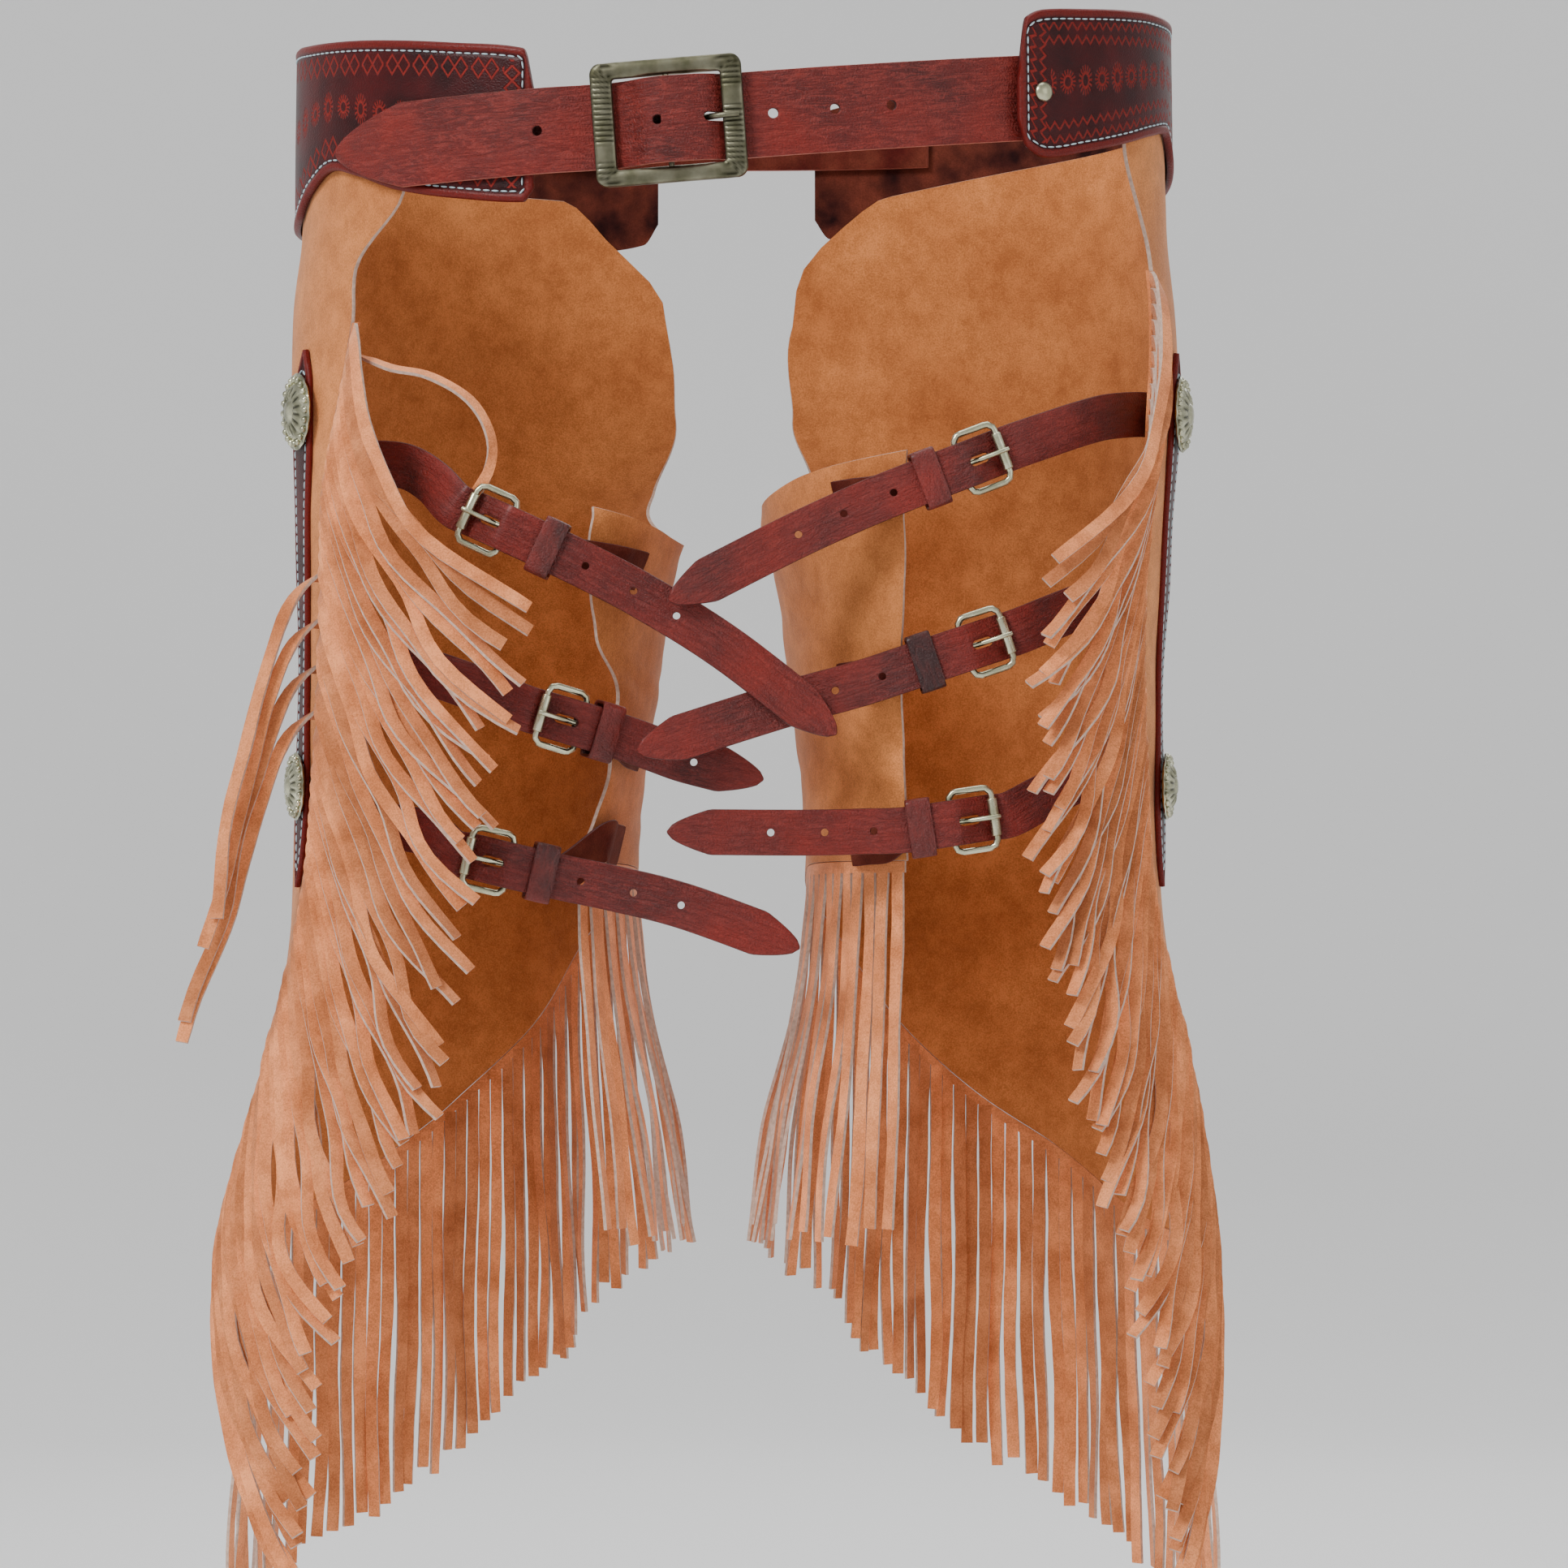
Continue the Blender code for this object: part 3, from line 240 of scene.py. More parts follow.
def between(table, column, key):
    """Smooth values of one column of a table whose first column rises or falls, at the keys."""
    rows = np.array(sorted(table), dtype=float)
    keys = rows[:, 0]
    values = rows[:, column]
    key = np.clip(np.asarray(key, dtype=float), keys[0], keys[-1])
    steps = np.diff(keys)
    slopes = np.diff(values) / steps
    lean = np.empty(len(keys))
    lean[0] = slopes[0]
    lean[-1] = slopes[-1]
    same_way = slopes[:-1] * slopes[1:] > 0
    total = np.where(same_way, slopes[:-1] + slopes[1:], 1.0)
    lean[1:-1] = np.where(same_way, 2 * slopes[:-1] * slopes[1:] / total, 0.0)
    i = np.clip(np.searchsorted(keys, key, side="right") - 1, 0, len(steps) - 1)
    t = (key - keys[i]) / steps[i]
    return (
        values[i] * (2 * t**3 - 3 * t**2 + 1)
        + lean[i] * steps[i] * (t**3 - 2 * t**2 + t)
        + values[i + 1] * (3 * t**2 - 2 * t**3)
        + lean[i + 1] * steps[i] * (t**3 - t**2)
    )


def ease(low, high, value):
    """0 below `low`, 1 above `high`, smooth between."""
    t = np.clip((np.asarray(value, dtype=float) - low) / (high - low), 0.0, 1.0)
    return t * t * (3 - 2 * t)


def unit(v):
    return v / np.maximum(np.linalg.norm(v, axis=-1, keepdims=True), 1e-9)


def square_to(v, along):
    """Unit vectors nearest to the given ones that stand square to `along`."""
    return unit(v - along * np.sum(v * along, -1, keepdims=True))


def round_turns(count):
    return np.linspace(0, 2 * math.pi, count, endpoint=False)


def circle(first, second, turns):
    """Points of a circle of radius 1 in the plane of two directions."""
    return first * np.cos(turns)[:, None] + second * np.sin(turns)[:, None]


def backward(side, out):
    """Level directions square to the outward ones, towards the back at a leg's outer side."""
    return np.stack((out[:, 1], -out[:, 0], np.zeros(len(out))), -1) * SIGN[side]


def setting(name):
    """One of the sizes that a user may change, in millimetres."""
    return getattr(bpy.context.scene.chaps_sizes, name) / MM


def scatter(n, seed):
    """Steady scatter between -1 and 1 for piece number n."""
    value = math.sin(n * 12.9898 + seed * 78.233) * 43758.5453
    return 2 * (value - math.floor(value)) - 1


def form_height(angle, height):
    """Height at which the form is read: the inner side keeps the thigh's form up to its top edge."""
    lifted = height - (height + 172) * ease(125, 170, angle)
    return np.where(height <= -172, height, lifted)


def outward(side, angle, height):
    """Unit vectors away from the leg, level with the ground."""
    angle, height = np.broadcast_arrays(np.asarray(angle, float), np.asarray(height, float))
    ring = form_height(angle, height)
    turn = np.radians(angle)
    x = SIGN[side] * between(FORM[side], 3, ring) * np.cos(turn)
    y = between(FORM[side], 2, ring) * np.sin(turn)
    return unit(np.stack((x, y, np.zeros_like(x)), -1))


def skin_plain(side, angle, height, out):
    """Points off a leg's form without its folds."""
    angle, height, out = np.broadcast_arrays(
        np.asarray(angle, float), np.asarray(height, float), np.asarray(out, float)
    )
    turn = np.radians(angle)
    ring = form_height(angle, height)
    x = between(FORM[side], 1, ring) + between(FORM[side], 2, ring) * np.cos(turn)
    y = between(FORM[side], 3, ring) * np.sin(turn)
    return np.stack((SIGN[side] * x, y, height), -1) + outward(side, angle, height) * out[..., None]


def skin(side, angle, height, out=0.0):
    """Points of a leg panel's inner face, with its folds, moved out by `out`."""
    angle = np.asarray(angle, float)
    height = np.asarray(height, float)
    low = ease(-190, -470, height) * ease(-20, 25, angle) * (1 - ease(165, 205, angle))
    fold = low * 5.0 * np.sin(np.radians(angle * 4.2) + height * 0.012 + SIGN[side])
    crease = 1.6 * np.sin(height * 0.055 + angle * 0.05) * ease(-150, -210, height) * ease(200, 150, angle)
    crease = crease * ease(-25, 10, angle)
    pulled = PULLED[side] * ease(200, 242, angle)
    return skin_plain(side, angle, height, out + fold + crease + pulled)


def waist(x, height, out, back=True):
    """Points of the waist loop at `x` across, and the directions away from it."""
    x = np.clip(np.asarray(x, float), -WAIST_HALF_WIDTH, WAIST_HALF_WIDTH)
    y = WAIST_HALF_DEPTH * np.sqrt(1 - (x / WAIST_HALF_WIDTH) ** 2) * (-1 if back else 1)
    away = unit(np.stack((x / WAIST_HALF_WIDTH**2, y / WAIST_HALF_DEPTH**2, np.zeros_like(x)), -1))
    level = np.broadcast_to(np.asarray(height, float), x.shape)
    return np.stack((x, y, level), -1) + away * np.asarray(out, float)[..., None], away


def course(points, step):
    """Evenly spaced points on a smooth curve through the given ones."""
    p = np.asarray(points, float)
    p0 = np.concatenate((p[:1], p[:-2]))[:, None]
    p1 = p[:-1, None]
    p2 = p[1:, None]
    p3 = np.concatenate((p[2:], p[-1:]))[:, None]
    t = (np.arange(24) / 24)[None, :, None]
    fine = 0.5 * (
        2 * p1 + (p2 - p0) * t + (2 * p0 - 5 * p1 + 4 * p2 - p3) * t**2 + (3 * p1 - p0 - 3 * p2 + p3) * t**3
    )
    fine = np.concatenate((fine.reshape(-1, 3), p[-1:]))
    gone = distances(fine)
    count = max(int(round(gone[-1] / step)), 1)
    return at_distance(fine, gone, np.linspace(0, gone[-1], count + 1))


def distances(points):
    """How far along a run of points each one lies."""
    return np.concatenate(((0.0,), np.cumsum(np.linalg.norm(np.diff(points, axis=0), axis=1))))


def at_distance(points, gone, wanted):
    """Points of a run at the wanted distances along it."""
    return np.stack([np.interp(wanted, gone, points[:, k]) for k in range(3)], -1)


# Meshes


def mesh_object(name, points, faces, materials, slots=None, uv=None, marks=None, sharp=50):
    """Object from points in millimetres. `uv` and `marks` hold a value for each point."""
    mesh = bpy.data.meshes.new(name)
    mesh.from_pydata((np.asarray(points) * MM).tolist(), [], [list(map(int, face)) for face in faces])
    for material in materials:
        mesh.materials.append(material)
    if slots is not None:
        mesh.polygons.foreach_set("material_index", np.asarray(slots, dtype=np.int32))
    if uv is not None:
        corners = np.zeros(len(mesh.loops), dtype=np.int32)
        mesh.loops.foreach_get("vertex_index", corners)
        layer = mesh.uv_layers.new(name="run")
        layer.data.foreach_set("uv", (np.asarray(uv)[corners] * MM).astype(np.float32).ravel())
    for mark, values in (marks or {}).items():
        layer = mesh.attributes.new(mark, "FLOAT", "POINT")
        layer.data.foreach_set("value", np.asarray(values, dtype=np.float32))
    shell = bmesh.new()
    shell.from_mesh(mesh)
    bmesh.ops.recalc_face_normals(shell, faces=shell.faces)
    shell.to_mesh(mesh)
    shell.free()
    mesh.polygons.foreach_set("use_smooth", [True] * len(mesh.polygons))
    mesh.set_sharp_from_angle(angle=math.radians(sharp))
    made = bpy.data.objects.new(name, mesh)
    bpy.context.scene.collection.objects.link(made)
    return made


def finished(made, slot, *nodes):
    """Hangs a finished piece on the part's one body and hides the parts that it stands for."""
    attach(made, "root")
    if nodes:
        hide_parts(*nodes)
    return made


def closed_wall(inner, outer, bulge):
    """Points, faces, material slots and source points of a wall between two equal grids, its edge rounded."""
    rows, columns = inner.shape[:2]
    count = rows * columns
    index = np.arange(count).reshape(rows, columns)
    quads = grid_faces(index)
    rim = np.concatenate((index[0], index[1:, -1], index[-1, -2::-1], index[-2:0:-1, 0]))
    inside = np.concatenate((index[1], index[1:, -2], index[-2, -2::-1], index[-2:0:-1, 1]))
    within = inner.reshape(-1, 3)
    without = outer.reshape(-1, 3)
    middle = (within[rim] + without[rim]) / 2
    middle = middle + unit(middle - (within[inside] + without[inside]) / 2) * bulge
    here = np.arange(len(rim))
    following = np.roll(here, -1)
    lower = np.stack((rim[following], rim, here + 2 * count, following + 2 * count), -1)
    upper = np.stack((following + 2 * count, here + 2 * count, rim + count, rim[following] + count), -1)
    points = np.concatenate((within, without, middle))
    faces = np.concatenate((quads, quads[:, ::-1] + count, lower, upper))
    slots = np.concatenate((np.full(len(quads), 1), np.full(len(quads), 0), np.full(2 * len(rim), 2)))
    source = np.concatenate((np.arange(count), np.arange(count), rim))
    return points, faces, slots, source


def swept(sections, closed=False):
    """Points and faces of a bar through equal rings of points."""
    count, sides = sections.shape[:2]
    index = np.arange(count * sides).reshape(count, sides)
    here = index if closed else index[:-1]
    ahead = np.roll(index, -1, 0) if closed else index[1:]
    quads = np.stack((here, np.roll(here, -1, 1), np.roll(ahead, -1, 1), ahead), -1).reshape(-1, 4)
    faces = quads.tolist()
    if not closed:
        faces.append(index[0, ::-1].tolist())
        faces.append(index[-1].tolist())
    return sections.reshape(-1, 3), faces


def frames_along(points, hint, closed=False):
    """Tangent, width and outward directions along a run, turned towards the hints."""
    if closed:
        along = unit(np.roll(points, -1, 0) - np.roll(points, 1, 0))
    else:
        along = unit(np.gradient(points, axis=0))
    out = square_to(hint, along)
    return along, unit(np.cross(out, along)), out


def frames_beside(points, hint):
    """Width and outward directions along a run, its width turned towards the hint."""
    along = unit(np.gradient(points, axis=0))
    wide = square_to(hint, along)
    return wide, unit(np.cross(along, wide))


def strand_frames(points, flat, towards):
    """Width and face directions along a strand, its face turned towards the given side."""
    flat, face = frames_beside(points, flat)
    facing = np.sum(face * towards, -1, keepdims=True)
    return flat, np.where(facing < 0, -face, face)


def grid_faces(index):
    """Faces between the rows and columns of a grid of points."""
    return np.stack((index[:-1, :-1], index[:-1, 1:], index[1:, 1:], index[1:, :-1]), -1).reshape(-1, 4)


def strap(name, points, wide, out, halves, thick, materials, across=11, rounding=0.35):
    """Leather strap: a wall with softened edges along a run, with its length and width as its UV."""
    x = np.linspace(-1, 1, across)
    reach = np.asarray(halves)[:, None] * x[None, :]
    rise = thick / 2 - rounding * np.abs(x) ** 8
    flat = points[:, None] + wide[:, None] * reach[..., None]
    lift = out[:, None] * rise[None, :, None]
    shape = closed_wall(flat - lift, flat + lift, 0.25)
    gone = np.repeat(distances(points)[:, None], across, 1)
    uv = np.stack((gone, reach), -1).reshape(-1, 2)[shape[3]]
    return mesh_object(name, shape[0], shape[1], materials, shape[2], uv)


def rod(name, points, radii, material, sides=10, closed=False, hint=(0.13, -0.97, 0.2)):
    """Round bar through points."""
    _along, wide, out = frames_along(points, np.broadcast_to(np.array(hint, float), points.shape), closed)
    radii = np.broadcast_to(np.asarray(radii, float), (len(points),))[:, None, None]
    ring = circle(wide[:, None], out[:, None], round_turns(sides))
    return mesh_object(name, *swept(points[:, None] + ring * radii, closed), [material])


def turned(name, centre, facing, profile, material, sides=32, flutes=0, flute_depth=0.0):
    """Turned piece: profile rows are radius, rise along `facing` and share fluted; flutes ripple the face, and
    their hollows carry a groove mark of painted shade.
    """
    side = unit(np.cross(facing, UP))
    other = np.cross(facing, side)
    turns = round_turns(sides)
    around = circle(side, other, turns)
    ripple = flute_depth * np.cos(turns * flutes) if flutes else np.zeros(sides)
    rows = []
    dark = []
    for radius, rise, fluted in profile:
        rows.append(centre + around * radius + facing * (rise + ripple * fluted)[:, None])
        # Painted shade: the flutes' hollows are marked here so that the metal is coloured darker in them.
        dark.append(np.clip(-ripple * fluted / max(flute_depth, 0.01), 0, 1) + 0 * turns)
    return mesh_object(name, *swept(np.array(rows)), [material], marks={"groove": np.concatenate(dark)})


def weld(target, others):
    """Joins meshes into the target's object."""
    bpy.ops.object.select_all(action="DESELECT")
    for other in others:
        other.select_set(True)
    target.select_set(True)
    bpy.context.view_layer.objects.active = target
    bpy.ops.object.join()
    return target


def cut(target, cutters):
    """Takes the cutters' shapes out of the target; the holes' walls get the cutters' material."""
    for cutter in cutters:
        change = target.modifiers.new("hole", "BOOLEAN")
        change.operation = "DIFFERENCE"
        change.solver = "EXACT"
        change.material_mode = "TRANSFER"
        change.object = cutter
    graph = bpy.context.evaluated_depsgraph_get()
    done = bpy.data.meshes.new_from_object(target.evaluated_get(graph))
    target.modifiers.clear()
    target.data = done
    for cutter in cutters:
        bpy.data.objects.remove(cutter)


def punch(centre, facing, radius, material, stretch=0.0, along=None, sides=16, depth=9.0):
    """Cutter for a hole through leather, drawn out lengthways by `stretch`."""
    run = unit(along) if along is not None else unit(np.cross(facing, UP))
    other = np.cross(facing, run)
    turns = 2 * math.pi * (np.arange(sides) + 0.5) / sides
    shift = np.copysign(stretch / 2, np.cos(turns))
    flat = run * (np.cos(turns) * radius + shift)[:, None] + other * (np.sin(turns) * radius)[:, None]
    ends = np.stack([centre + facing * rise + flat for rise in (-depth, depth)])
    return mesh_object("cutter", *swept(ends), [material])


# Geometry Nodes


class Tree:
    """Short calls for adding nodes to a node tree and linking them."""

    def __init__(self, tree):
        self.tree = tree

    def add(self, kind, inputs=None, **settings):
        node = self.tree.nodes.new(kind)
        for key, value in settings.items():
            setattr(node, key, value)
        for key, value in (inputs or {}).items():
            if isinstance(value, bpy.types.NodeSocket):
                self.tree.links.new(value, node.inputs[key])
            else:
                node.inputs[key].default_value = value
        return node

    def link(self, source, target):
        self.tree.links.new(source, target)


def run_of_things_tree():
    """Node tree that sets small things evenly along a run of edges, turned to its direction."""
    tree = bpy.data.node_groups.new("things_along_a_run", "GeometryNodeTree")
    face = tree.interface
    face.new_socket("Geometry", in_out="INPUT", socket_type="NodeSocketGeometry")
    for name, default in (("Pitch", 0.0042), ("Length", 0.003), ("Width", 0.001), ("Height", 0.0008)):
        socket = face.new_socket(name, in_out="INPUT", socket_type="NodeSocketFloat")
        socket.default_value = default
        socket.subtype = "DISTANCE"
    face.new_socket("Material", in_out="INPUT", socket_type="NodeSocketMaterial")
    face.new_socket("Geometry", in_out="OUTPUT", socket_type="NodeSocketGeometry")
    make = Tree(tree)
    given = make.add("NodeGroupInput").outputs
    curve = make.add("GeometryNodeMeshToCurve", {"Mesh": given["Geometry"]})
    even = make.add(
        "GeometryNodeResampleCurve", {"Curve": curve.outputs[0], "Length": given["Pitch"]}, mode="LENGTH"
    )
    tangent = make.add("GeometryNodeInputTangent")
    turn = make.add("FunctionNodeAlignRotationToVector", {"Vector": tangent.outputs[0]}, axis="X")
    bead = make.add("GeometryNodeMeshUVSphere", {"Segments": 8, "Rings": 5, "Radius": 0.5})
    size = make.add(
        "ShaderNodeCombineXYZ", {"X": given["Length"], "Y": given["Width"], "Z": given["Height"]}
    )
    placed = make.add(
        "GeometryNodeInstanceOnPoints",
        {
            "Points": even.outputs[0],
            "Instance": bead.outputs[0],
            "Rotation": turn.outputs[0],
            "Scale": size.outputs[0],
        },
    )
    plain = make.add("GeometryNodeRealizeInstances", {"Geometry": placed.outputs[0]})
    smooth = make.add("GeometryNodeSetShadeSmooth", {"Geometry": plain.outputs[0]})
    dressed = make.add(
        "GeometryNodeSetMaterial", {"Geometry": smooth.outputs[0], "Material": given["Material"]}
    )
    made = make.add("NodeGroupOutput")
    make.link(dressed.outputs[0], made.inputs[0])
    return tree


def things_along(name, loops, pitch, size, material):
    """Mesh of small things set along closed runs of points in millimetres."""
    tree = bpy.data.node_groups.get("things_along_a_run") or run_of_things_tree()
    points = np.concatenate(loops)
    edges = []
    start = 0
    for loop in loops:
        count = len(loop)
        edges += [(start + n, start + (n + 1) % count) for n in range(count)]
        start += count
    mesh = bpy.data.meshes.new(name)
    mesh.from_pydata((points * MM).tolist(), edges, [])
    made = bpy.data.objects.new(name, mesh)
    bpy.context.scene.collection.objects.link(made)
    change = made.modifiers.new("things", "NODES")
    change.node_group = tree
    given = {"Pitch": pitch, "Length": size[0], "Width": size[1], "Height": size[2], "Material": material}
    for socket in tree.interface.items_tree:
        if socket.in_out == "INPUT" and socket.name in given:
            change[socket.identifier] = given[socket.name]
    graph = bpy.context.evaluated_depsgraph_get()
    done = bpy.data.meshes.new_from_object(made.evaluated_get(graph))
    made.modifiers.clear()
    made.data = done
    return made


# Materials


def effect_group(name, inputs, output_kinds):
    """Empty shader node group with named float or colour inputs."""
    group = bpy.data.node_groups.new(name, "ShaderNodeTree")
    for key, value in inputs.items():
        if isinstance(value, tuple) and len(value) == 4:
            kind = "NodeSocketColor"
        elif isinstance(value, tuple):
            kind = "NodeSocketVector"
        else:
            kind = "NodeSocketFloat"
        socket = group.interface.new_socket(key, in_out="INPUT", socket_type=kind)
        socket.default_value = value
    for key, kind in output_kinds.items():
        group.interface.new_socket(key, in_out="OUTPUT", socket_type=kind)
    make = Tree(group)
    return make, make.add("NodeGroupInput").outputs, make.add("NodeGroupOutput").inputs


def blotches_group():
    """Two colours mixed in soft blotches."""
    inputs = {"Vector": (0.0, 0.0, 0.0), "Scale": 20.0, "Spread": 0.2,
              "Dark": (0.1, 0.1, 0.1, 1.0), "Light": (0.8, 0.8, 0.8, 1.0)}
    kinds = {"Color": "NodeSocketColor", "Mask": "NodeSocketFloat"}
    make, given, made = effect_group("blotches", inputs, kinds)
    noise = make.add(
        "ShaderNodeTexNoise", {"Vector": given["Vector"], "Scale": given["Scale"], "Detail": 3.0}
    )
    low = make.add("ShaderNodeMath", {0: 0.5, 1: given["Spread"]}, operation="SUBTRACT")
    high = make.add("ShaderNodeMath", {0: 0.5, 1: given["Spread"]}, operation="ADD")
    mask = make.add("ShaderNodeMapRange", {"Value": noise.outputs[0], 1: low.outputs[0], 2: high.outputs[0]})
    mix = make.add("ShaderNodeMix", {"Factor": mask.outputs[0]}, data_type="RGBA")
    make.link(given["Dark"], mix.inputs[6])
    make.link(given["Light"], mix.inputs[7])
    make.link(mix.outputs[2], made["Color"])
    make.link(mask.outputs[0], made["Mask"])
    return make.tree


def creases_group():
    """Fine wavy creases that run along a strap, from its length and width."""
    inputs = {"Vector": (0.0, 0.0, 0.0), "Along": 14.0, "Across": 160.0, "Waver": 1.2, "Sharpness": 5.0}
    make, given, made = effect_group("long_creases", inputs, {"Height": "NodeSocketFloat"})
    size = make.add("ShaderNodeCombineXYZ", {"X": given["Along"], "Y": given["Across"], "Z": 1.0})
    spread = make.add("ShaderNodeVectorMath", {0: given["Vector"], 1: size.outputs[0]}, operation="MULTIPLY")
    noise = make.add(
        "ShaderNodeTexNoise",
        {"Vector": spread.outputs[0], "Scale": 1.0, "Detail": 4.0, "Distortion": given["Waver"]},
    )
    centred = make.add("ShaderNodeMath", {0: noise.outputs[0], 1: 0.5}, operation="SUBTRACT")
    ridge = make.add("ShaderNodeMath", {0: centred.outputs[0]}, operation="ABSOLUTE")
    sharp = make.add("ShaderNodeMath", {0: ridge.outputs[0], 1: given["Sharpness"]}, operation="MULTIPLY")
    flat = make.add("ShaderNodeMath", {0: sharp.outputs[0], 1: 1.0}, operation="MINIMUM")
    make.link(flat.outputs[0], made["Height"])
    return make.tree


def nap_group():
    """Short brushed nap: a fine height and a soft light and dark drift."""
    inputs = {"Vector": (0.0, 0.0, 0.0), "Fine": 1400.0, "Drift": 60.0}
    make, given, made = effect_group(
        "suede_nap", inputs, {"Height": "NodeSocketFloat", "Shade": "NodeSocketFloat"}
    )
    fine = make.add("ShaderNodeTexNoise", {"Vector": given["Vector"], "Scale": given["Fine"], "Detail": 2.0})
    drift = make.add(
        "ShaderNodeTexNoise",
        {"Vector": given["Vector"], "Scale": given["Drift"], "Detail": 4.0, "Roughness": 0.7},
    )
    both = make.add("ShaderNodeMath", {0: fine.outputs[0], 1: drift.outputs[0]}, operation="ADD")
    shade = make.add("ShaderNodeMapRange", {"Value": both.outputs[0], 1: 0.78, 2: 1.22})
    make.link(both.outputs[0], made["Height"])
    make.link(shade.outputs[0], made["Shade"])
    return make.tree


def grain_group():
    """Leather pores: small cells with a fine break-up."""
    inputs = {"Vector": (0.0, 0.0, 0.0), "Scale": 900.0}
    make, given, made = effect_group("leather_grain", inputs, {"Height": "NodeSocketFloat"})
    cells = make.add(
        "ShaderNodeTexVoronoi", {"Vector": given["Vector"], "Scale": given["Scale"]}, feature="F1"
    )
    fine = make.add("ShaderNodeTexNoise", {"Vector": given["Vector"], "Scale": given["Scale"], "Detail": 3.0})
    both = make.add("ShaderNodeMath", {0: cells.outputs[0], 1: fine.outputs[0]}, operation="ADD")
    make.link(both.outputs[0], made["Height"])
    return make.tree


def math_chain(make):
    """Short call for a Math node: operation and up to three values or sockets."""

    def of(operation, *values):
        return make.add("ShaderNodeMath", dict(enumerate(values)), operation=operation).outputs[0]

    return of


def line_of(make, distance, half_width):
    """Mask that is 1 within a line's half-width and fades just past it."""
    ramp = {"Value": distance, 1: half_width * 1.35, 2: half_width * 0.65}
    return make.add("ShaderNodeMapRange", ramp, interpolation_type="SMOOTHSTEP").outputs[0]


def stamped_row_group():
    """Row of twin diamonds, or of two mirrored zigzags where the base is above nought."""
    inputs = {"Along": 0.0, "Across": 0.0, "Pitch": 0.0137, "Width": 0.006, "Base": 0.0, "Height": 0.004}
    make, given, made = effect_group("stamped_row", inputs, {"Mask": "NodeSocketFloat"})
    of = math_chain(make)
    near = of("MULTIPLY", of("SUBTRACT", of("FRACT", of("DIVIDE", given["Along"], given["Pitch"])), 0.5),
              given["Pitch"])
    saw = of("FRACT", of("DIVIDE", near, given["Width"]))
    peak = of("SUBTRACT", 1.0, of("ABSOLUTE", of("SUBTRACT", of("MULTIPLY", saw, 2.0), 1.0)))
    line = of("ADD", given["Base"], of("MULTIPLY", peak, given["Height"]))
    distance = of("ABSOLUTE", of("SUBTRACT", of("ABSOLUTE", given["Across"]), line))
    inside = of("LESS_THAN", of("ABSOLUTE", near), of("MULTIPLY", given["Width"], 1.04))
    make.link(of("MULTIPLY", line_of(make, distance, 0.0008), inside), made["Mask"])
    return make.tree


def sunburst_row_group():
    """Row of rings with short rays, round and tall ones by turns."""
    inputs = {"Along": 0.0, "Across": 0.0, "Pitch": 0.0082}
    make, given, made = effect_group("sunburst_row", inputs, {"Mask": "NodeSocketFloat"})
    of = math_chain(make)
    place = of("DIVIDE", given["Along"], given["Pitch"])
    near = of("MULTIPLY", of("SUBTRACT", of("FRACT", place), 0.5), given["Pitch"])
    tall = of("MODULO", of("FLOOR", place), 2.0)
    x = of("MULTIPLY", near, of("MULTIPLY_ADD", tall, 0.12, 1.0))
    y = of("MULTIPLY", given["Across"], of("MULTIPLY_ADD", tall, -0.16, 0.82))
    radius = of("SQRT", of("ADD", of("MULTIPLY", x, x), of("MULTIPLY", y, y)))
    rays = of("MULTIPLY_ADD", of("COSINE", of("MULTIPLY", of("ARCTAN2", y, x), 16.0)), 1.2, 0.5)
    band = line_of(make, of("ABSOLUTE", of("SUBTRACT", radius, 0.0033)), 0.0012)
    ring = line_of(make, of("ABSOLUTE", of("SUBTRACT", radius, 0.0022)), 0.0005)
    lit = of("MAXIMUM", ring, of("MULTIPLY", band, of("MINIMUM", of("MAXIMUM", rays, 0.0), 1.0)))
    make.link(lit, made["Mask"])
    return make.tree


GROUPS = {
    "stamped_row": stamped_row_group,
    "sunburst_row": sunburst_row_group,
    "blotches": blotches_group,
    "long_creases": creases_group,
    "suede_nap": nap_group,
    "leather_grain": grain_group,
}


def effect(make, name, inputs):
    group = bpy.data.node_groups.get(name) or GROUPS[name]()
    node = make.add("ShaderNodeGroup", node_tree=group)
    for key, value in inputs.items():
        if isinstance(value, bpy.types.NodeSocket):
            make.link(value, node.inputs[key])
        else:
            node.inputs[key].default_value = value
    return node.outputs


def blank_material(name, roughness, metallic=0.0, **plain):
    """Material, its node calls and its Principled shader, with the plain values set on the shader."""
    made = bpy.data.materials.new(name)
    made.use_nodes = True
    shader = made.node_tree.nodes["Principled BSDF"]
    shader.inputs["Roughness"].default_value = roughness
    shader.inputs["Metallic"].default_value = metallic
    for key, value in plain.items():
        shader.inputs[key.replace("_", " ")].default_value = value
    return made, Tree(made.node_tree), shader


def bump(make, shader, height, distance, strength=1.0):
    node = make.add("ShaderNodeBump", {"Strength": strength, "Distance": distance, "Height": height})
    make.link(node.outputs[0], shader.inputs["Normal"])


def mixed(make, factor, first, second, blend="MIX"):
    """Output of a colour mix; colours may be sockets or values."""
    node = make.add("ShaderNodeMix", data_type="RGBA", blend_type=blend)
    for index, value in ((0, factor), (6, first), (7, second)):
        if isinstance(value, bpy.types.NodeSocket):
            make.link(value, node.inputs[index])
        else:
            node.inputs[index].default_value = value
    return node.outputs[2]


def object_coordinates(make):
    return make.add("ShaderNodeTexCoord").outputs["Object"]


def strap_coordinates(make):
    return make.add("ShaderNodeUVMap", uv_map="run").outputs[0]


def four(colour, share=1.0):
    return (colour[0] * share, colour[1] * share, colour[2] * share, 1.0)


def blotched(make, place, scale, dark, light, spread=0.2):
    """Outputs of two colours mixed in soft blotches."""
    given = {"Vector": place, "Scale": scale, "Spread": spread, "Dark": four(dark), "Light": four(light)}
    return effect(make, "blotches", given)


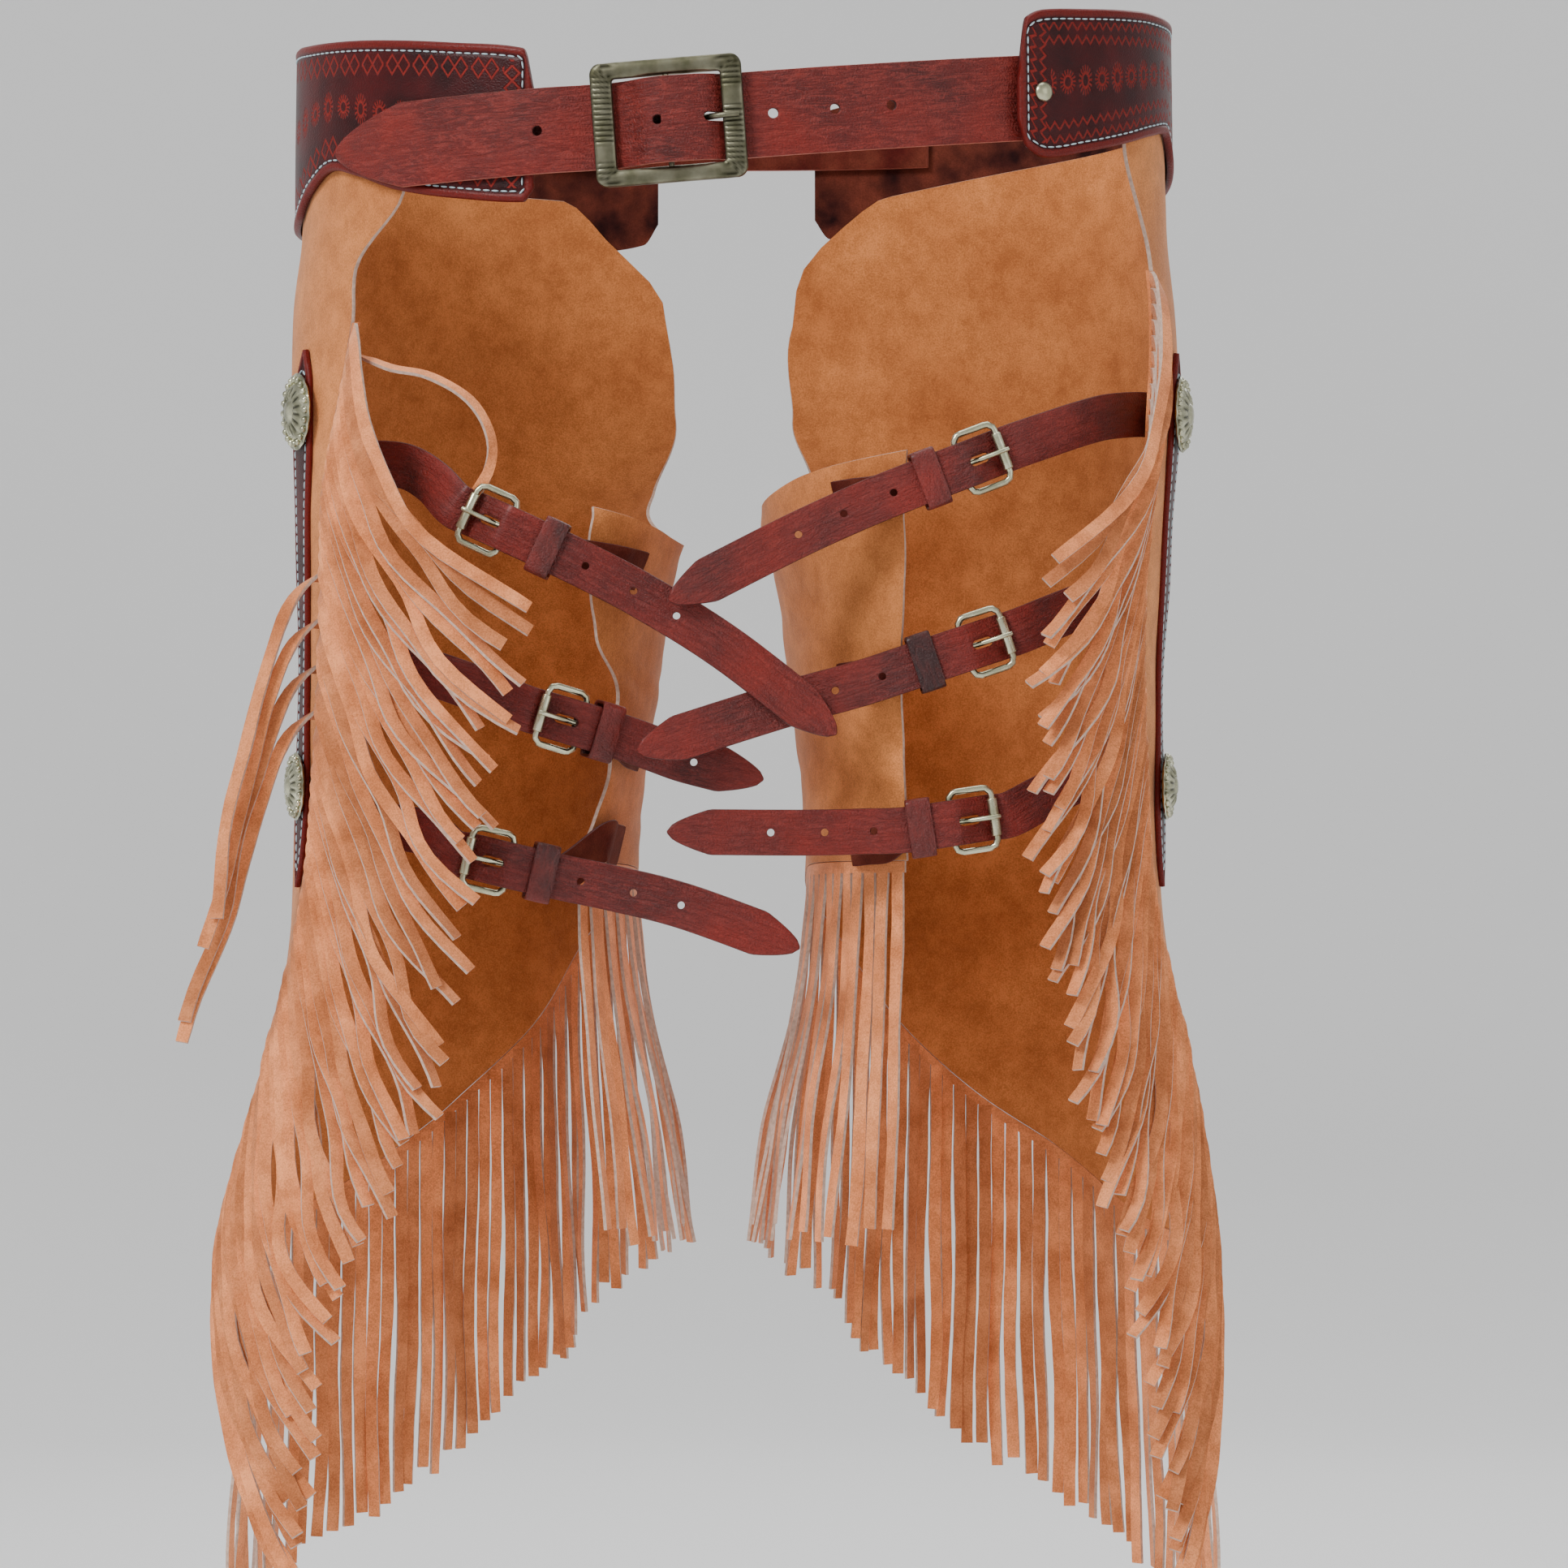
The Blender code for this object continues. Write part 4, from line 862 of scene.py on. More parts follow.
def suede_material(name, light, dark, drift, fuzz):
    made, make, shader = blank_material(name, 0.93, Sheen_Weight=fuzz, Sheen_Roughness=0.45)
    shader.inputs["Sheen Tint"].default_value = (1.0, 0.86, 0.74, 1.0)
    shader.inputs["Specular IOR Level"].default_value = 0.2
    place = object_coordinates(make)
    colour = blotched(make, place, drift, dark, light)
    nap = effect(make, "suede_nap", {"Vector": place, "Fine": 1400.0, "Drift": 90.0})
    shaded = mixed(make, nap["Shade"], four((0.72, 0.66, 0.60)), four((1.12, 1.12, 1.12)))
    tone = mixed(make, 1.0, colour["Color"], shaded, "MULTIPLY")
    mark = make.add("ShaderNodeAttribute", attribute_name="tone")
    lift = make.add(
        "ShaderNodeMapRange", {"Value": mark.outputs["Fac"], 1: -1.0, 2: 1.0, 3: 0.74, 4: 1.2}
    )
    toned = make.add("ShaderNodeHueSaturation", {"Value": lift.outputs[0], "Color": tone})
    make.link(toned.outputs[0], shader.inputs["Base Color"])
    bump(make, shader, nap["Height"], 0.0004, 0.7)
    return made


def cut_edge_material(name, colour, roughness=0.9):
    made, make, shader = blank_material(name, roughness)
    place = object_coordinates(make)
    tone = blotched(make, place, 500.0, four(colour, 0.72), four(colour, 1.1))
    make.link(tone["Color"], shader.inputs["Base Color"])
    bump(make, shader, tone["Mask"], 0.0002)
    return made


def strap_material(name, light, dark, ridge, crest_highlight_share, gloss):
    made, make, shader = blank_material(name, 0.5, Coat_Weight=gloss, Coat_Roughness=0.3)
    shader.inputs["Specular IOR Level"].default_value = 0.3
    run = strap_coordinates(make)
    place = object_coordinates(make)
    colour = blotched(make, place, 34.0, dark, light, 0.16)
    crease = effect(make, "long_creases", {"Vector": run, "Along": 62.0, "Across": 460.0, "Waver": 0.9})
    grain = effect(make, "leather_grain", {"Vector": place, "Scale": 1100.0})
    # Painted highlight: the crease lines are coloured towards the paler `ridge` colour to stand for light
    # catching them.
    painted_crest_highlight = make.add("ShaderNodeMapRange", {"Value": crease["Height"], 1: 0.35, 2: 0.0, 3: 0.0, 4: crest_highlight_share})
    tone = mixed(make, painted_crest_highlight.outputs[0], colour["Color"], four(ridge))
    pores = make.add("ShaderNodeMapRange", {"Value": grain["Height"], 1: 0.5, 2: 1.3, 3: 0.82, 4: 1.12})
    shade = make.add("ShaderNodeHueSaturation", {"Value": pores.outputs[0], "Color": tone})
    make.link(shade.outputs[0], shader.inputs["Base Color"])
    rough = make.add("ShaderNodeMapRange", {"Value": colour["Mask"], 3: 0.42, 4: 0.62})
    make.link(rough.outputs[0], shader.inputs["Roughness"])
    height = make.add("ShaderNodeMath", {0: crease["Height"], 1: grain["Height"]}, operation="ADD")
    bump(make, shader, height.outputs[0], 0.0006, 0.75)
    return made


def stamped_mask(make, pitch, width, base, rise, middle_pitch):
    """Where a yoke's rows are pressed in: along its top, bottom and ends, and down its middle."""
    of = math_chain(make)
    marks = {}
    for mark in ("along", "from_top", "from_bottom", "from_end"):
        marks[mark] = make.add("ShaderNodeAttribute", attribute_name=mark).outputs["Fac"]
    nearest = of("MINIMUM", marks["from_top"], marks["from_bottom"])
    across = of("SUBTRACT", marks["from_end"], 0.0098)
    end_row = effect(make, "stamped_row", {"Along": marks["from_bottom"], "Across": across, "Pitch": pitch,
                                           "Width": width, "Base": base * 0.8, "Height": rise * 0.8})
    mask = of("MULTIPLY", end_row["Mask"], of("LESS_THAN", marks["from_end"], 0.0145))
    for away in ("from_top", "from_bottom"):
        across = of("SUBTRACT", marks[away], 0.0108)
        row = effect(make, "stamped_row", {"Along": marks["along"], "Across": across, "Pitch": pitch,
                                           "Width": width, "Base": base, "Height": rise})
        inside = of("MULTIPLY", row["Mask"], of("GREATER_THAN", marks["from_end"], 0.0135))
        mask = of("MAXIMUM", mask, inside)
    across = of("MULTIPLY", of("SUBTRACT", marks["from_top"], marks["from_bottom"]), 0.5)
    middle = effect(make, "sunburst_row", {"Along": marks["along"], "Across": across, "Pitch": middle_pitch})
    clear = of("MULTIPLY", of("GREATER_THAN", marks["from_end"], 0.0165), of("GREATER_THAN", nearest, 0.0165))
    mask = of("MAXIMUM", mask, of("MULTIPLY", middle["Mask"], clear))
    return of("MULTIPLY", mask, of("GREATER_THAN", nearest, 0.0060))


def tooled_material(name, light, dark, line, rows=None):
    """Dark dyed leather whose pressed lines and edge band show redder; no `rows` leaves it untooled."""
    made, make, shader = blank_material(name, 0.45, Coat_Weight=0.04, Coat_Roughness=0.25)
    shader.inputs["Specular IOR Level"].default_value = 0.18
    place = object_coordinates(make)
    tone = blotched(make, place, 45.0, dark, light, 0.18)
    grain = effect(make, "leather_grain", {"Vector": place, "Scale": 1300.0})
    band = make.add("ShaderNodeAttribute", attribute_name="band")
    colour = tone["Color"]
    height = make.add("ShaderNodeMath", {0: grain["Height"], 1: 0.25}, operation="MULTIPLY").outputs[0]
    if rows:
        tooled = stamped_mask(make, *rows)
        colour = mixed(make, tooled, colour, four(line))
        pressed = make.add("ShaderNodeMath", {0: tooled, 1: -1.0, 2: height}, operation="MULTIPLY_ADD")
        height = pressed.outputs[0]
        rough = make.add("ShaderNodeMapRange", {"Value": tooled, 3: 0.38, 4: 0.62})
        make.link(rough.outputs[0], shader.inputs["Roughness"])
    edged = mixed(make, band.outputs["Fac"], colour, four(line, 0.6))
    pores = make.add("ShaderNodeMapRange", {"Value": grain["Height"], 1: 0.5, 2: 1.3, 3: 0.7, 4: 1.2})
    shade = make.add("ShaderNodeHueSaturation", {"Value": pores.outputs[0], "Color": edged})
    make.link(shade.outputs[0], shader.inputs["Base Color"])
    depth = bpy.context.scene.chaps_sizes.tooling_depth
    bump(make, shader, height, depth)
    return made


def metal_material(name, light, dark, roughness, wear):
    made, make, shader = blank_material(name, roughness, 1.0)
    place = object_coordinates(make)
    colour = blotched(make, place, 130.0, dark, light, 0.25)
    # Painted shade: the colour is darkened where the groove mark lies, in the concho's flute hollows and the
    # buckle's rib grooves.
    groove = make.add("ShaderNodeAttribute", attribute_name="groove")
    shaded_in_grooves = mixed(make, groove.outputs["Fac"], colour["Color"], four(dark, 0.3))
    make.link(shaded_in_grooves, shader.inputs["Base Color"])
    rough = make.add("ShaderNodeMapRange", {"Value": colour["Mask"], 3: roughness + wear, 4: roughness})
    make.link(rough.outputs[0], shader.inputs["Roughness"])
    fine = make.add("ShaderNodeTexNoise", {"Vector": place, "Scale": 900.0, "Detail": 2.0})
    bump(make, shader, fine.outputs[0], 0.00002, 0.2)
    return made


def thread_material(name, colour):
    made, make, shader = blank_material(name, 0.6, Sheen_Weight=0.3)
    place = object_coordinates(make)
    strands = make.add("ShaderNodeTexNoise", {"Vector": place, "Scale": 2400.0, "Detail": 2.0})
    tone = mixed(make, strands.outputs[0], four(colour, 0.6), four(colour, 1.1))
    make.link(tone, shader.inputs["Base Color"])
    bump(make, shader, strands.outputs[0], 0.0002)
    return made


def look(name):
    """Material by its finish, made the first time that it is asked for."""
    known = bpy.data.materials.get(name)
    if known:
        return known
    c = bpy.context.scene.chaps_colours
    makers = {
        "suede_face": lambda: suede_material(name, c.suede_light, c.suede_dark, 14.0, 0.25),
        "suede_back": lambda: suede_material(name, c.suede_light, c.suede_dark, 20.0, 0.15),
        "suede_edge": lambda: cut_edge_material(name, c.cut_edge),
        "fringe_face": lambda: suede_material(name, c.fringe_light, c.fringe_dark, 40.0, 0.35),
        "fringe_edge": lambda: cut_edge_material(name, c.cut_edge),
        # The belt, strap and keeper faces take c.crease as a painted highlight along their creases.
        "belt_face": lambda: strap_material(name, c.belt_light, c.belt_dark, c.crease, 0.5, 0.12),
        "belt_back": lambda: suede_material(name, c.yoke_back, c.belt_dark, 60.0, 0.05),
        "belt_edge": lambda: cut_edge_material(name, c.belt_edge, 0.6),
        "strap_face": lambda: strap_material(name, c.belt_light, c.belt_dark, c.crease, 0.3, 0.2),
        "strap_edge": lambda: cut_edge_material(name, c.belt_dark, 0.6),
        "hole_wall": lambda: cut_edge_material(name, c.belt_dark, 0.8),
        "keeper_face": lambda: strap_material(name, c.keeper_light, c.keeper_dark, c.crease, 0.15, 0.35),
        "worn_keeper": lambda: strap_material(name, c.keeper_dark, c.yoke_dark, c.crease, 0.1, 0.35),
        "tooled_left": lambda: tooled_material(name, c.yoke_light, c.yoke_dark, c.tooling, STAMPS["left"]),
        "tooled_right": lambda: tooled_material(name, c.yoke_light, c.yoke_dark, c.tooling, STAMPS["right"]),
        "strip_face": lambda: tooled_material(name, c.yoke_light, c.yoke_dark, c.tooling),
        "yoke_back": lambda: suede_material(name, c.yoke_back, c.yoke_dark, 60.0, 0.05),
        "thread": lambda: thread_material(name, c.thread),
        "nickel_wire": lambda: metal_material(name, c.nickel_light, c.nickel_dark, 0.2, 0.15),
        "antique_pewter": lambda: metal_material(name, c.pewter_light, c.pewter_dark, 0.3, 0.2),
        "bright_concho": lambda: metal_material(name, c.concho_light, c.concho_dark, 0.18, 0.2),
    }
    return makers[name]()


def looks(*names):
    return [look(name) for name in names]


# Leg panels


def panel_points(side, share, rise, out):
    """Points of a leg panel: share across from the inner edge, rise from hem to top."""
    top = between(TOP_AND_HEM[side], 1, share)
    hem = between(TOP_AND_HEM[side], 2, share)
    height = hem + (top - hem) * rise
    inner = between(INNER_EDGE[side], 1, height)
    outer = between(OUTER_EDGE[side], 1, height)
    return skin(side, inner + (outer - inner) * share, height, out)


def make_panel(side):
    suede = setting("suede")
    share, rise = np.meshgrid(np.linspace(0, 1, 161), np.linspace(0, 1, 111))
    low = 0.45 * np.sin(share * 37 + np.sin(rise * 23) * 1.7) * np.sin(rise * 19 + np.sin(share * 17) * 1.3)
    inner = panel_points(side, share, rise, low)
    outer = panel_points(side, share, rise, suede + low)
    points, faces, slots, source = closed_wall(inner, outer, 0.3)
    tone = 0.5 * np.sin(share * 9 + 1) * np.sin(rise * 7) - 0.35 * ease(0.25, 0.0, rise)
    materials = looks("suede_face", "suede_back", "suede_edge")
    marks = {"tone": tone.reshape(-1)[source]}
    made = mesh_object(f"suede_leg_{side}", points, faces, materials, slots, marks=marks)
    finished(made, "suede", f"leg_panel_{side}")


# Yokes and side strips


def line_mask(distance, half_width):
    """1 on a line, 0 away from it."""
    return 1 - ease(half_width * 0.5, half_width * 1.3, np.abs(distance))


def make_yoke(side):
    low = YOKE[side][0][0]
    high = YOKE[side][-1][0]
    angles = np.linspace(low, high, 561)
    rises = np.linspace(0, 1, 101)
    angle, rise = np.meshgrid(angles, rises)
    top = between(YOKE[side], 1, angle)
    bottom = between(YOKE[side], 2, angle)
    height = bottom + (top - bottom) * rise
    run = distances(skin_plain(side, angles, 0.0, YOKE_OUT + YOKE_LEATHER))[None, :] + 0 * angle
    d_top = top - height
    d_bottom = height - bottom
    edge = np.minimum(np.minimum(d_top, d_bottom), np.minimum(run, run[0, -1] - run))
    band = 1 - ease(3.0, 3.8, edge)
    groove = line_mask(edge - STITCH_INSET, 0.9)
    relief = 0.45 * band - 0.35 * groove - 1.1 * ease(1.2, 0.0, edge)
    outer = skin_plain(side, angle, height, YOKE_OUT + YOKE_LEATHER + relief)
    few = rises[::10]
    back_angle, back_rise = np.meshgrid(angles, few)
    back_top = between(YOKE[side], 1, back_angle)
    back_bottom = between(YOKE[side], 2, back_angle)
    inner = skin_plain(side, back_angle, back_bottom + (back_top - back_bottom) * back_rise, YOKE_OUT)
    marks = {"band": band, "along": run * MM, "from_top": d_top * MM, "from_bottom": d_bottom * MM,
             "from_end": np.minimum(run, run[0, -1] - run) * MM}
    made = yoke_mesh(side, inner, outer, marks)
    finished(made, "yoke_leather", f"yoke_{side}")
    inset = STITCH_INSET
    degrees = math.degrees(inset / between(FORM[side], 2, 0.0))
    forward = np.linspace(low + 1.1 * degrees, high - 1.1 * degrees, 260)
    rows = [(forward, inset, 2), (forward[::-1], -inset, 1)]
    loop = [
        skin_plain(side, row, between(YOKE[side], column, row) + shift, YOKE_OUT + YOKE_LEATHER - 0.05)
        for row, shift, column in rows
    ]
    stitches(f"yoke_stitches_{side}", [np.concatenate(loop)], "yoke_leather")


def yoke_mesh(side, inner, outer, marks):
    """Plate with a fine outer grid and a plainer inner one over the same columns."""
    rows, columns = outer.shape[:2]
    few = inner.shape[0]
    count = rows * columns
    front = np.arange(count).reshape(rows, columns)
    back = np.arange(few * columns).reshape(few, columns) + count
    faces = []
    for index in (front, back[::-1]):
        faces += grid_faces(index).tolist()
    slots = [0] * ((rows - 1) * (columns - 1))
    slots += [1] * (len(faces) - len(slots))
    for a, b in ((front[0], back[0]), (front[-1], back[-1])):
        faces += np.stack((a[:-1], a[1:], b[1:], b[:-1]), -1).tolist()
    for column in (0, -1):
        faces.append(front[:, column].tolist() + back[::-1, column].tolist())
    slots += [0] * (len(faces) - len(slots))
    points = np.concatenate((outer.reshape(-1, 3), inner.reshape(-1, 3)))
    plain = np.zeros(few * columns)
    marks = {mark: np.concatenate((values.reshape(-1), plain)) for mark, values in marks.items()}
    materials = [look(f"tooled_{side}"), look("yoke_back")]
    return mesh_object(f"tooled_yoke_{side}", points, faces, materials, slots, marks=marks, sharp=60)


def stitches(name, loops, slot):
    """Thread laid in short stitches along closed runs."""
    sizes = bpy.context.scene.chaps_sizes
    size = (sizes.stitch_length, sizes.thread, sizes.thread * 0.8)
    return finished(things_along(name, loops, sizes.stitch_pitch, size, look("thread")), slot)


def make_side_strip(side):
    middle = SIDE_STRIP_ANGLE[side]
    suede = setting("suede")
    share, height = np.meshgrid(np.linspace(-1, 1, 25), np.linspace(SIDE_STRIP[0][0], SIDE_STRIP[-1][0], 201))
    half = between(SIDE_STRIP, 1, height)
    reach = half / DEGREES_IN_RADIAN * STRIP_LEG_RADIUS
    edge = reach * (1 - np.abs(share))
    band = 1 - ease(1.6, 2.2, edge)
    relief = 0.35 * band - 0.3 * line_mask(edge - 3.0, 0.7) - 0.6 * ease(0.7, 0.0, edge)
    angle = middle + share * half
    base = suede + GAP
    inner = skin(side, angle, height, base)
    outer = skin(side, angle, height, base + STRIP_LEATHER + relief)
    points, faces, slots, source = closed_wall(inner, outer, 0.2)
    marks = {"band": band.reshape(-1)[source]}
    made = mesh_object(f"pointed_strip_{side}", points, faces, [look("strip_face")], slots * 0, marks=marks)
    finished(made, "yoke_leather", f"side_strip_{side}")
    run = np.linspace(-104, -330, 120)
    inset = np.maximum(between(SIDE_STRIP, 1, run) - math.degrees(3.0 / STRIP_LEG_RADIUS), 0.15)
    out = base + STRIP_LEATHER
    loop = [skin(side, middle + inset, run, out), skin(side, middle - inset[::-1], run[::-1], out)]
    stitches(f"strip_stitches_{side}", [np.concatenate(loop)], "yoke_leather")
    for number, (place, radius) in enumerate(CONCHOS, 1):
        make_concho(side, number, place, radius)


def make_concho(side, number, height, radius):
    """Pressed disc with a scalloped rim, a ring of beads and a fluted dome."""
    middle = SIDE_STRIP_ANGLE[side]
    out = outward(side, middle, height)
    suede = setting("suede")
    base = skin(side, middle, height, suede + GAP + STRIP_LEATHER + 0.9)
    scale = radius / CONCHO_RADIUS
    # Profile rows: radius, rise, share fluted; the flutes' hollows get painted shade through the groove mark.
    profile = (
        (0.2, 0.0, 0), (15.4, 0.0, 0), (17.0, 0.3, 0.2), (17.5, 1.0, 0.4), (16.9, 1.6, 0.5), (15.2, 1.5, 0.3),
        (13.4, 1.7, 0), (12.4, 2.4, 0), (11.6, 3.2, 0.2), (10.2, 3.9, 1.0), (8.4, 4.6, 1.4), (6.6, 5.0, 1.0),
        (5.6, 4.6, 0.2), (5.0, 4.7, 0), (4.2, 5.6, 0), (2.6, 6.1, 0), (0.2, 6.3, 0),
    )
    rows = [(r * scale, rise, fluted) for r, rise, fluted in profile]
    face = turned(f"concho_face_{side}_{number}", base, out, rows, look("bright_concho"), 96, 16, 0.35)
    across = unit(np.cross(out, UP))
    ring = circle(across, UP, round_turns(72))
    bead_place = 14.6 * scale
    bead = bpy.context.scene.chaps_sizes.bead
    loops = [base + out * 1.9 + ring * bead_place]
    pitch = 2 * math.pi * bead_place * MM / CONCHO_BEADS
    beads = things_along("beads", loops, pitch, (bead, bead, bead), look("bright_concho"))
    weld(face, [beads])
    finished(face, "concho_metal", f"concho_{side}_{number}")


# Fringe


def strand_mesh(name, strip, strands, tones, slot, node):
    """Fringe from its strip and its strands, each a run of four-cornered rings."""
    points = [strip.reshape(-1, 3)]
    faces = []
    slots = []
    marks = [np.zeros(len(points[0]))]
    for n in range(len(strip) - 1):
        a = 4 * n
        for k in range(4):
            m = (k + 1) % 4
            faces.append((a + k, a + m, a + 4 + m, a + 4 + k))
            slots.append(0)
    faces.append((3, 2, 1, 0))
    last = 4 * (len(strip) - 1)
    faces.append((last, last + 1, last + 2, last + 3))
    slots += [1, 1]
    start = len(points[0])
    for rings, tone in zip(strands, tones):
        ring_points, ring_faces = swept(rings)
        sides = rings.shape[1]
        points.append(ring_points)
        marks.append(np.full(len(ring_points), tone))
        for number, face in enumerate(ring_faces):
            faces.append([start + corner for corner in face])
            edge = number >= len(ring_faces) - 2 or number % sides in (1, 3)
            slots.append(1 if edge else 0)
        start += len(ring_points)
    materials = looks("fringe_face", "fringe_edge")
    made = mesh_object(name, np.concatenate(points), faces, materials, slots,
                       marks={"tone": np.concatenate(marks)}, sharp=40)
    return finished(made, slot, node)


def strand_rings(points, flat, face, width, thick, seed):
    """Rings of one strand, its width a little uneven and its end cut square."""
    count = len(points)
    gone = np.linspace(0, 1, count)
    uneven = 1 + 0.05 * np.sin(gone * 17 + seed * 5) + 0.03 * np.sin(gone * 41 + seed * 3)
    half = width / 2 * uneven * (1 - 0.05 * gone)
    across = flat * half[:, None]
    through = face * thick / 2
    return np.stack((points - across + through, points + across + through,
                     points + across - through, points - across - through), 1)


def angle_of(side, p):
    x = (p[..., 0] * SIGN[side] - between(FORM[side], 1, p[..., 2])) / between(FORM[side], 2, p[..., 2])
    return np.degrees(np.arctan2(p[..., 1] / between(FORM[side], 3, p[..., 2]), x))


def outer_edge_points(side, heights, out):
    rise = np.linspace(0, 1, 200)
    run = panel_points(side, np.ones(200), rise, out)
    return np.stack([np.interp(heights, run[:, 2], run[:, k]) for k in range(3)], -1)


def falling_strand(side, root, shape, seed):
    """Run of points and face directions of a strand that leaves the edge level and turns down."""
    length, slant, depth_slope, bend, turned_face, first_depth = shape
    steps = 64
    s = np.linspace(0, length, steps + 1)
    full = 90 - math.degrees(math.atan(slant))
    angle = np.radians(full * (1 - np.exp(-s / bend)))
    slope = depth_slope + (first_depth / 11.0) * np.exp(-s / 11.0)
    step = length / steps / np.sqrt(1 + slope * slope)
    start = np.zeros(1)
    lat = np.concatenate((start, np.cumsum(step * np.cos(angle))[:-1]))
    drop = np.concatenate((start, np.cumsum(step * np.sin(angle))[:-1]))
    depth = np.concatenate((start, np.cumsum(step * slope)[:-1]))
    loose = ease(25, 120, s)
    lat = lat + loose * (2.2 * np.sin(s * 0.042 + seed * 2.1) + 1.3 * np.sin(s * 0.09 + seed * 4.7))
    curl = np.clip((s - length + 38) / 38, 0, 1) ** 2
    lat = lat + curl * (2.0 + 5.0 * max(scatter(seed, 21), 0.0))
    depth = depth + loose * 1.3 * np.sin(s * 0.05 + seed * 3.3) + curl * 2.5 * scatter(seed, 23)
    height = root[2] - drop
    spot = np.maximum(between(FORM[side], 2, height), 60)
    around = float(angle_of(side, root)) - np.degrees(lat / spot)
    points = skin_plain(side, around, height, setting("strand_thickness") / 2 + 0.8 + depth)
    out = outward(side, around, height)
    back = backward(side, out)
    flat = -UP * np.cos(angle)[:, None] - back * np.sin(angle)[:, None]
    tilt = (np.radians(turned_face + 20 * scatter(seed, 5)) * ease(0, 35, s))[:, None]
    flat = flat * np.cos(tilt) + out * np.sin(tilt)
    flat, face = strand_frames(points, flat, out * np.cos(tilt) + back * np.sin(tilt))
    take = np.unique(np.concatenate((np.arange(0, 14, 2), np.arange(14, steps, 3), (steps,))))
    return points[take], flat[take], face[take]


def make_outer_fringe(side):
    thick = setting("strand_thickness")
    top = OUTER_FRINGE_TOP[side]
    bottom = float(between(TOP_AND_HEM[side], 2, 1.0)) + 2
    heights = np.linspace(top, bottom, OUTER_STRANDS + 1)
    spot = outer_edge_points(side, heights, 0.3)
    out = outward(side, angle_of(side, spot), heights)
    back = backward(side, out)
    near = spot + back * 0.4
    far = near + back * STRIP_WIDTH + out * 0.5
    strip = np.stack((near, near + out * thick, far + out * thick, far), 1)
    first, last, every = STAND_OFF[side]
    strands = []
    tones = []
    for n in range(OUTER_STRANDS):
        share = n / OUTER_STRANDS
        length = setting("strand_length") * (1 + 0.05 * scatter(n, 3))
        slant, depth, turned_face = (float(between(FAN[side], column, share)) for column in (1, 2, 3))
        shape = (length, slant, depth, 13.0, turned_face, 9.0)
        if first <= n <= last and (n - first) % every == 0:
            shape = (length * 1.02, 0.0, STAND_OFF_SLOPE, 4.5, 35.0, 32.0)
        root = (far[n] + far[n + 1]) / 2 - back[n] * 2.0
        run = falling_strand(side, root, shape, n)
        strands.append(strand_rings(*run, setting("strand_width"), thick, n))
        tones.append(0.9 * scatter(n, 11))
    if side == "left":
        points = course(STRAY_STRAND, 4.0)
        along, across, face = frames_along(points, np.broadcast_to(STRAY_FACING, points.shape))
        strands.append(strand_rings(points, across, face, setting("strand_width") * 0.85, thick, 7))
        tones.append(0.5)
    strand_mesh(f"edge_fringe_{side}", strip, strands, tones, "fringe_suede", f"outer_fringe_{side}")


def make_hem_fringe(side):
    thick = setting("strand_thickness")
    share = np.linspace(0, 1, 400)
    inner = panel_points(side, share, 0.0, 0.3)
    outer = panel_points(side, share, 0.0, 0.3 + thick)
    gone = distances(inner)
    wanted = np.linspace(1.0, gone[-1] - 10.0, HEM_STRANDS + 1)
    a = at_distance(inner, gone, wanted) - UP * 0.5
    b = at_distance(outer, gone, wanted) - UP * 0.5
    strip = np.stack((a, b, b - UP * STRIP_WIDTH, a - UP * STRIP_WIDTH), 1)
    strands = []
    tones = []
    for n in range(HEM_STRANDS):
        root = (strip[n, 2] + strip[n, 3] + strip[n + 1, 2] + strip[n + 1, 3]) / 4 + UP * 2.0
        broad = (strip[n + 1, 3] - strip[n, 3]) * (1, 1, 0)
        pitch = float(np.linalg.norm(broad))
        broad = broad / pitch
        angle = float(angle_of(side, root))
        out = np.array((broad[1], -broad[0], 0.0))
        if out @ outward(side, angle, root[2]) < 0:
            out = -out
        inner_side = math.exp(-(((angle % 360) - 190) / 38) ** 2)
        flare = 0.03 + 0.13 * inner_side
        length = setting("strand_length") * (0.98 + 0.03 * scatter(n, 7))
        s = np.linspace(0, length, 26)
        layer = (1.3 if n % 2 else -0.5) * ease(0, 30, s)
        depth = layer + flare * s * ease(-20, 120, s)
        loose = ease(20, 130, s)
        depth = depth + loose * 1.2 * np.sin(s * 0.05 + n * 1.9)
        sway = loose * (1.3 * np.sin(s * 0.035 + n * 0.7) + 0.8 * scatter(n, 9))
        points = root - UP * s[:, None] + out * depth[:, None] + broad * sway[:, None]
        twist = (loose * 0.5 * scatter(n, 13))[:, None]
        flat = broad * np.cos(twist) + out * np.sin(twist)
        flat, face = strand_frames(points, flat, out)
        width = min(setting("strand_width"), pitch * 0.93)
        strands.append(strand_rings(points, flat, face, width, thick, n + 100))
        tones.append(0.9 * scatter(n, 17))
    strand_mesh(f"hem_and_inner_fringe_{side}", strip, strands, tones, "fringe_suede", f"hem_fringe_{side}")


# Belt


def belt_height(x):
    return 2.2 + 0.0785 * x + 0.00013 * x * x


